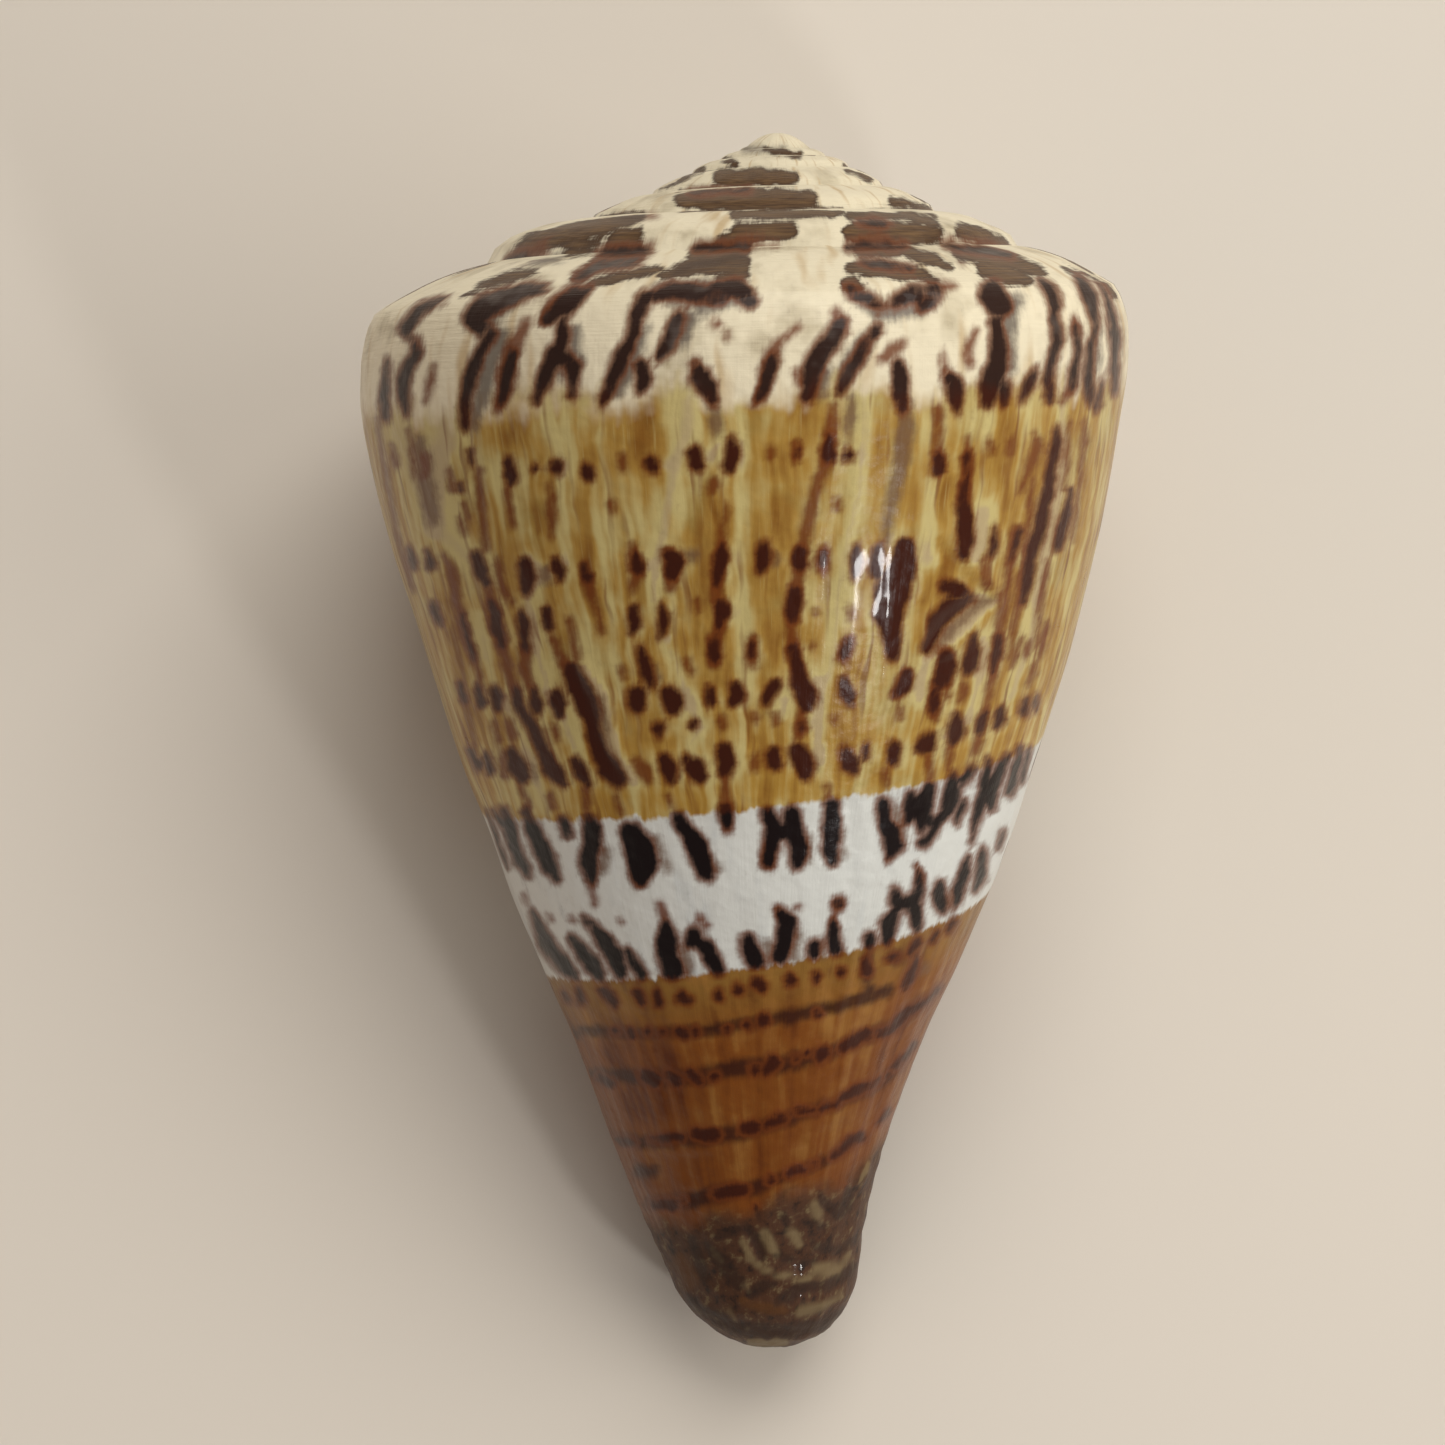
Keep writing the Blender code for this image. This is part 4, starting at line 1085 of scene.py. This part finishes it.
def selectEdges(piece, *chains):  # leaves the piece in edit mode with only these edges selected
    bpy.ops.object.mode_set(mode="OBJECT")
    mesh = piece.data
    tree = KDTree(len(mesh.vertices))
    for vert in mesh.vertices:
        tree.insert(vert.co, vert.index)
    tree.balance()
    wanted = set()
    for chain in chains:
        found = findChain(tree, chain)
        wanted |= {frozenset(pair) for pair in zip(found, found[1:])}
    mesh.polygons.foreach_set("select", np.zeros(len(mesh.polygons), bool))
    mesh.vertices.foreach_set("select", np.zeros(len(mesh.vertices), bool))
    for edge in mesh.edges:
        edge.select = frozenset(edge.vertices) in wanted
    for index in set().union(*wanted):
        mesh.vertices[index].select = True
    bpy.context.tool_settings.mesh_select_mode = (False, True, False)
    bpy.ops.object.mode_set(mode="EDIT")


def readCorners(mesh, data, key, width):
    values = np.zeros(len(mesh.loops) * width, np.float32)
    data.foreach_get(key, values)
    return values.reshape(-1, width)


def fillNewCorners(mesh):  # the faces that close the sheets take their neighbours' values
    corners = np.zeros(len(mesh.loops), np.int32)
    mesh.loops.foreach_get("vertex_index", corners)
    sheet = readCorners(mesh, mesh.attributes["sheet"].data, "value", 1)[:, 0]
    known = abs(sheet - 1) < 1e-4
    count = np.maximum(np.bincount(corners[known], minlength=len(mesh.vertices)), 1)
    targets = [(mesh.attributes[key].data, "value", 1) for key in unpainted if key != "sheet"]
    for data, key, width in targets + [(mesh.uv_layers["growth"].data, "uv", 2)]:
        values = readCorners(mesh, data, key, width)
        for k in range(width):
            total = np.bincount(corners[known], values[known, k], len(mesh.vertices))
            values[~known, k] = (total / count)[corners[~known]]
        data.foreach_set(key, values.reshape(-1))
    mesh.attributes.remove(mesh.attributes["sheet"])


def makeShell():
    body = growBody()
    spire = growSpire()
    inside = placed(insideProfile(insideAngles), insideAngles)
    wall = placed(sheetProfile(insideAngles - math.tau, measures[rootIndex:]), insideAngles)
    fold = growFold(body, inside)
    rim = growRim(body, inside)
    spireHeights = measures[: attachIndex + 1]
    foldAngles = np.full(foldSteps + 1, lip)
    rimHeights = np.full(foldSteps + 1, tipMeasure)
    sheets = [
        makeSheet(name, points, layersOf(angles, heights, **paintedLayers(points, angles, heights)))
        for name, points, angles, heights in (
            ("coneShell", body, bodyAngles, measures),
            ("spire", spire, spireAngles, spireHeights),
        )
    ]
    sheets += [
        makeSheet(name, points, layersOf(angles, heights, inside=part))
        for name, points, angles, heights, part in (
            ("lip", fold, foldAngles, measures, 0.6),
            ("rim", rim, rimAngles, rimHeights, 0.6),
            ("hollow", inside[linedIndex:-1], insideAngles, measures[linedIndex:-1], 1.0),
            ("oldWall", wall, insideAngles - math.tau, measures[rootIndex:], 1.0),
        )
    ]
    bpy.ops.object.select_all(action="DESELECT")
    for sheet in sheets:
        sheet.select_set(True)
    shell = sheets[0]
    bpy.context.view_layer.objects.active = shell
    bpy.ops.object.join()
    bpy.ops.object.mode_set(mode="EDIT")
    bpy.ops.mesh.select_all(action="SELECT")
    bpy.ops.mesh.remove_doubles(threshold=grid["joined"])
    print("the sheets are joined:", len(shell.data.vertices), "points")
    selectEdges(shell, inside[-2], rim[-1])
    bpy.ops.mesh.bridge_edge_loops()
    selectEdges(shell, wall[:, 0], np.vstack((inside[linedIndex:-1, 0], rim[-1:, 0])))
    bpy.ops.mesh.edge_face_add()
    bpy.ops.mesh.quads_convert_to_tris(quad_method="BEAUTY", ngon_method="BEAUTY")
    bpy.ops.mesh.select_all(action="SELECT")
    bpy.ops.mesh.fill_holes(sides=0)
    bpy.ops.mesh.select_mode(type="FACE")
    bpy.ops.mesh.select_face_by_sides(number=4, type="GREATER", extend=False)
    bpy.ops.mesh.poke()
    bpy.ops.mesh.select_all(action="SELECT")
    bpy.ops.mesh.normals_make_consistent(inside=False)
    bpy.ops.object.mode_set(mode="OBJECT")
    fillNewCorners(shell.data)
    bpy.ops.object.shade_smooth_by_angle(angle=math.radians(60))
    print("the shell is closed:", len(shell.data.polygons), "faces")
    return shell


finish = {  # colours as they are seen, 0 to 255
    "cream": (228, 218, 191),
    "creamShade": (190, 178, 150),
    "creamWarm": (200, 178, 140),
    "yellowPale": (196, 180, 122),
    "yellow": (168, 132, 62),
    "yellowDeep": (130, 86, 30),
    "yellowLow": (172, 134, 58),
    "olive": (150, 128, 70),
    "rubbed": (178, 158, 124),
    "white": (214, 216, 212),
    "whiteShade": (192, 196, 196),
    "orangePale": (156, 110, 52),
    "gold": (138, 100, 44),
    "orange": (126, 72, 22),
    "orangeDeep": (88, 40, 9),
    "plum": (52, 20, 10),
    "tip": (74, 47, 31),
    "tipDark": (44, 29, 22),
    "tipPale": (112, 94, 66),
    "tipOrange": (86, 54, 28),
    "brown": (120, 92, 60),
    "brownDark": (66, 46, 32),
    "ink": (20, 8, 8),
    "inkBrown": (60, 22, 7),
    "inkSoft": (46, 27, 20),
    "inkEdge": (112, 56, 18),
    "rust": (108, 50, 12),
    "haze": (92, 82, 76),
    "smoke": (108, 78, 56),
    "shadow": (108, 97, 88),
    "inside": (226, 222, 218),
    "insideWarm": (214, 192, 166),
    "shoulderEnd": (13.3, 15.5),  # where each band gives way to the next, in mm from the suture
    "whiteStart": (41.75, 42.2),
    "whiteEnd": (53.25, 53.7),
    "tipStart": (70.1, 72.3),
    "dullSpire": (16, 7),
    "gloss": 0.3,  # the roughness
    "shine": 0.16,
    "coat": 0.16,
    "coatGloss": 0.06,
    "bump": 0.6,
    "bumpHeight": 0.00012,  # metres
}

# The fine patterns: how fine they are, their detail and their roughness. A pair is how fine they
# are round the shell and down it; a number alone is the same all ways.
patterns = {
    "bend": ((45, 32), 1, 0.5),
    "broad": ((95, 11), 1.5, 0.5),
    "streak": ((210, 15), 1.5, 0.5),
    "veins": ((210, 13), 1.5, 0.5),
    "hair": ((620, 22), 2, 0.6),
    "thread": ((40, 420), 2, 0.6),
    "arcs": ((50, 110), 3, 0.65),
    "cloud": (260, 3, 0.55),
    "pits": (900, 1, 0.5),
    "grain": (1500, 3, 0.6),
    "speck": (4200, 2, 0.6),
}


def tone(name):
    parts = [channel / 255 for channel in finish[name]]
    return tuple(part / 12.92 if part < 0.04 else ((part + 0.055) / 1.055) ** 2.4 for part in parts) + (1,)


class Recipe:  # short ways to add a material's nodes
    def __init__(self, name):
        self.material = bpy.data.materials.new(name)
        self.material.use_nodes = True
        self.nodes = self.material.node_tree.nodes
        self.look = self.nodes["Principled BSDF"]

    def add(self, kind, settings, *sockets):
        item = self.nodes.new("ShaderNode" + kind)
        for key, value in settings.items():
            setattr(item, key, value)
        for key, value in sockets:
            self.feed(item.inputs[key], value)
        return item

    def feed(self, socket, value):
        if isinstance(value, bpy.types.NodeSocket):
            self.material.node_tree.links.new(value, socket)
        elif value is not None:
            socket.default_value = value

    def math(self, operation, a, b=None):
        return self.add("Math", {"operation": operation}, (0, a), (1, b)).outputs[0]

    def sum(self, *parts):  # each part is a value, or a value and its weight
        total = None
        for part in parts:
            value = self.math("MULTIPLY", *part) if isinstance(part, tuple) else part
            total = value if total is None else self.math("ADD", total, value)
        return total

    def step(self, value, low, high):  # 0 before low, 1 past high
        item = self.add(
            "MapRange", {"interpolation_type": "SMOOTHSTEP"},
            ("Value", value), ("From Min", low), ("From Max", high),
        )
        return item.outputs["Result"]

    def mix(self, factor, under, over):
        under, over = (tone(side) if isinstance(side, str) else side for side in (under, over))
        item = self.add("Mix", {"data_type": "RGBA"}, (0, factor), (6, under), (7, over))
        return item.outputs[2]

    def wash(self, under, over, value, low, high, strength=None):  # over shows where value is high
        factor = self.step(value, low, high)
        if strength is not None:
            factor = self.math("MULTIPLY", factor, strength)
        return self.mix(factor, under, over)

    def layer(self, name):
        return self.add("Attribute", {"attribute_name": name}).outputs["Fac"]

    def noise(self, vector, name):  # about -0.3 to 0.3
        fine, detail, rough = patterns[name]
        if isinstance(fine, tuple):
            vector = self.add("Mapping", {}, ("Vector", vector), ("Scale", (*fine, 1))).outputs["Vector"]
            fine = 1.0
        item = self.add(
            "TexNoise", {}, ("Vector", vector), ("Scale", fine), ("Detail", detail), ("Roughness", rough)
        )
        return self.math("SUBTRACT", item.outputs["Fac"], 0.5)


def shellMaterial():
    make = Recipe("coneShell")
    wrap = make.add("UVMap", {"uv_map": "growth"}).outputs["UV"]
    spots = make.add("TexCoord", {}).outputs["Object"]
    measure = make.math("MULTIPLY", make.add("SeparateXYZ", {}, (0, wrap)).outputs["Y"], 100)
    dark, rust, grey = make.layer("dark"), make.layer("rust"), make.layer("grey")
    brown, tint, inside = make.layer("brown"), make.layer("tint"), make.layer("inside")

    # streaks run from the shoulder to the tip, threads run round
    bend = make.math("MULTIPLY", make.noise(wrap, "bend"), 0.006)
    bend = make.add("CombineXYZ", {}, (0, bend)).outputs[0]
    wavy = make.add("VectorMath", {"operation": "ADD"}, (0, wrap), (1, bend)).outputs[0]
    broad, streak, veins = (make.noise(wavy, name) for name in ("broad", "streak", "veins"))
    hair, thread, arcs = (make.noise(wrap, name) for name in ("hair", "thread", "arcs"))
    cloud, pits = make.noise(spots, "cloud"), make.noise(spots, "pits")
    grain, speck = make.noise(spots, "grain"), make.noise(spots, "speck")

    # where each band starts, with an uneven edge
    ragged = make.sum(measure, (streak, 1.1), (grain, 0.5))
    yellowIn = make.step(make.sum(measure, (streak, 2.2), (cloud, 6)), *finish["shoulderEnd"])
    whiteIn = make.step(ragged, *finish["whiteStart"])
    orangeIn = make.step(ragged, *finish["whiteEnd"])
    tipIn = make.step(make.sum(measure, (cloud, 4)), *finish["tipStart"])
    onWhite = make.math("SUBTRACT", whiteIn, orangeIn)

    # the ground colour of each band
    cream = make.wash("cream", "creamShade", cloud, -0.02, 0.24)
    cream = make.wash(cream, "creamWarm", broad, 0.04, 0.26)

    shift = make.sum((streak, 0.6), (broad, 0.7), (cloud, 0.5), (tint, 0.3))
    yellow = make.wash("yellow", "yellowLow", measure, 34.5, 39.5)
    yellow = make.wash(yellow, "olive", cloud, 0.0, 0.2, 0.6)
    yellow = make.wash(yellow, "yellowDeep", shift, 0.0, -0.36)
    yellow = make.wash(yellow, "yellowPale", shift, -0.1, 0.24)
    yellow = make.wash(yellow, "yellowPale", hair, 0.05, 0.3, 0.3)
    yellow = make.wash(yellow, "rubbed", tint, 0.6, 1.0, 0.8)
    veined = make.math("MULTIPLY", make.step(broad, -0.2, 0.05), 0.7)
    yellow = make.wash(yellow, "rust", veins, 0.05, 0.24, veined)

    worn = make.sum((broad, 0.7), (cloud, 0.7), (grain, 0.16), (streak, 0.16), (tint, 0.35))
    white = make.wash("white", "whiteShade", worn, 0.0, 0.4)

    orange = make.wash("gold", "orange", measure, 54, 59)
    orange = make.wash(orange, "orangeDeep", worn, 0.04, -0.4)
    orange = make.wash(orange, "orangePale", worn, -0.02, 0.4)
    orange = make.wash(orange, "orangeDeep", measure, 54, 70, 0.35)

    tip = make.wash("tip", "tipPale", arcs, 0.02, 0.24)
    tip = make.wash(tip, "tipDark", arcs, 0.0, -0.2)
    tip = make.wash(tip, "tipPale", tint, 0.1, 0.9)
    tip = make.wash(tip, "tipOrange", tint, -0.1, -0.8)

    ground = cream
    for edge, band in ((yellowIn, yellow), (whiteIn, white), (orangeIn, orange), (tipIn, tip)):
        ground = make.mix(edge, ground, band)

    # the marks over it
    fray = make.sum((grain, 0.55), (speck, 0.2), (hair, 0.4))
    greyTone = make.mix(yellowIn, "haze", "smoke")
    ground = make.wash(ground, greyTone, make.sum(grey, (cloud, 1.6), (fray, 1.6)), -0.8, 0.8, 0.85)

    brownTone = make.wash("brownDark", "brown", thread, -0.3, 0.4)
    brownTone = make.wash(brownTone, "brownDark", brown, 0.5, -0.1)
    ground = make.wash(ground, brownTone, make.sum(brown, fray, (thread, 0.8)), -0.4, 0.15)

    rustTone = make.mix(orangeIn, "rust", "plum")
    rustTone = make.wash(rustTone, "brownDark", brown, -0.7, 0.2)
    ground = make.wash(ground, rustTone, make.sum(rust, fray), -0.8, 0.5, 0.9)

    inkTone = make.mix(yellowIn, "inkSoft", "inkBrown")
    inkTone = make.mix(onWhite, inkTone, "ink")
    inkTone = make.mix(tipIn, inkTone, "tipDark")
    inkTone = make.wash(inkTone, "haze", cloud, 0.03, 0.2, make.math("SUBTRACT", 0.7, yellowIn))
    darkEdge = make.sum(dark, fray, (cloud, 0.5))
    onPale = make.math("ADD", make.math("SUBTRACT", 1.0, yellowIn), onWhite)
    ground = make.wash(ground, "shadow", darkEdge, -1.0, -0.2, make.math("MULTIPLY", onPale, 0.3))
    ground = make.wash(ground, "inkEdge", darkEdge, -0.9, 0.0, make.math("SUBTRACT", 0.8, tipIn))
    cover = make.math("SUBTRACT", 1.0, make.math("MULTIPLY", tipIn, 0.35))
    ground = make.wash(ground, inkTone, darkEdge, -0.35, 0.45, cover)

    porcelain = make.wash("inside", "insideWarm", cloud, 0.0, 0.3)
    ground = make.wash(ground, porcelain, inside, 0.1, 0.9)
    make.feed(make.look.inputs["Base Color"], ground)

    # the polish: duller on the spire and at the tip
    onSpire = make.step(measure, *finish["dullSpire"])
    dull = make.sum(onSpire, (tipIn, 1.2))
    rough = make.sum((dull, 0.22), (cloud, 0.12), finish["gloss"])
    make.feed(make.look.inputs["Roughness"], rough)
    make.look.inputs["Coat Weight"].default_value = finish["coat"]
    make.look.inputs["Coat Roughness"].default_value = finish["coatGloss"]
    make.look.inputs["Specular IOR Level"].default_value = finish["shine"]
    make.look.inputs["IOR"].default_value = 1.5

    # fine growth lines and pits
    height = make.sum((hair, 0.2), (streak, 0.2), (grain, 0.4), (pits, 1.3), (arcs, tipIn), (thread, onSpire))
    bump = make.add(
        "Bump", {},
        ("Height", height), ("Distance", finish["bumpHeight"]), ("Strength", finish["bump"]),
    )
    make.feed(make.look.inputs["Normal"], bump.outputs["Normal"])
    return make.material


shell = makeShell()
shell.data.materials.clear()
shell.data.materials.append(shellMaterial())
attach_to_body(shell, "root")
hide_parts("shell")
print("the shell has its finish")


studio = {
    "shellMiddle": (0, 0, 0.02),
    "glintAt": (0.0092, 0.0054, 0.0376),  # where the shell reflects the window
    "glintWay": (0.587, -0.650, 0.486),
    "windowDistance": 0.55,
    "floorTone": (0.70, 0.65, 0.58, 1),
    "roomTone": (0.9, 0.87, 0.82, 1),
    "roomLight": 0.24,
    "window": ((0.05, 0.04), 0.6, (1.0, 0.98, 0.96)),  # size in metres, watts and colour
    "lamps": (  # name, place, size, watts, colour, whether the shell reflects it
        ("ceiling", (0.22, 0.52, 0.66), (0.7, 0.7), 5.6, (1.0, 0.96, 0.90), True),
        ("side", (0.62, -0.05, 0.42), (0.5, 0.5), 1.9, (1.0, 0.95, 0.88), False),
        ("bounce", (-0.6, -0.25, 0.35), (0.5, 0.5), 0.5, (1.0, 0.62, 0.42), False),
    ),
}


def makeFloor():
    bpy.ops.object.select_all(action="DESELECT")
    bpy.ops.mesh.primitive_plane_add(size=4)
    floor = bpy.context.object
    floor.name = "floor"
    material = bpy.data.materials.new("floor")
    material.use_nodes = True
    look = material.node_tree.nodes["Principled BSDF"]
    look.inputs["Base Color"].default_value = studio["floorTone"]
    look.inputs["Roughness"].default_value = 0.9
    floor.data.materials.append(material)


def makeLight(name, place, target, size, power, color, glossy):
    data = bpy.data.lights.new(name, "AREA")
    data.shape = "RECTANGLE"
    data.size, data.size_y = size
    data.energy = power
    data.color = color
    item = bpy.data.objects.new(name, data)
    away = Vector(place) - Vector(target)
    item.matrix_world = Matrix.Translation(place) @ away.to_track_quat("Z", "Y").to_matrix().to_4x4()
    item.visible_glossy = glossy
    bpy.context.scene.collection.objects.link(item)


def makeRoom():
    glint = Vector(studio["glintAt"])
    windowPlace = glint + Vector(studio["glintWay"]) * studio["windowDistance"]
    makeLight("window", windowPlace, glint, *studio["window"], True)
    for name, place, *rest in studio["lamps"]:
        makeLight(name, place, studio["shellMiddle"], *rest)
    world = bpy.data.worlds.new("room")
    world.use_nodes = True
    background = world.node_tree.nodes["Background"]
    background.inputs["Color"].default_value = studio["roomTone"]
    background.inputs["Strength"].default_value = studio["roomLight"]
    bpy.context.scene.world = world
    bpy.context.scene.view_settings.view_transform = "Standard"


makeFloor()
makeRoom()
print("the floor and the lights are made")
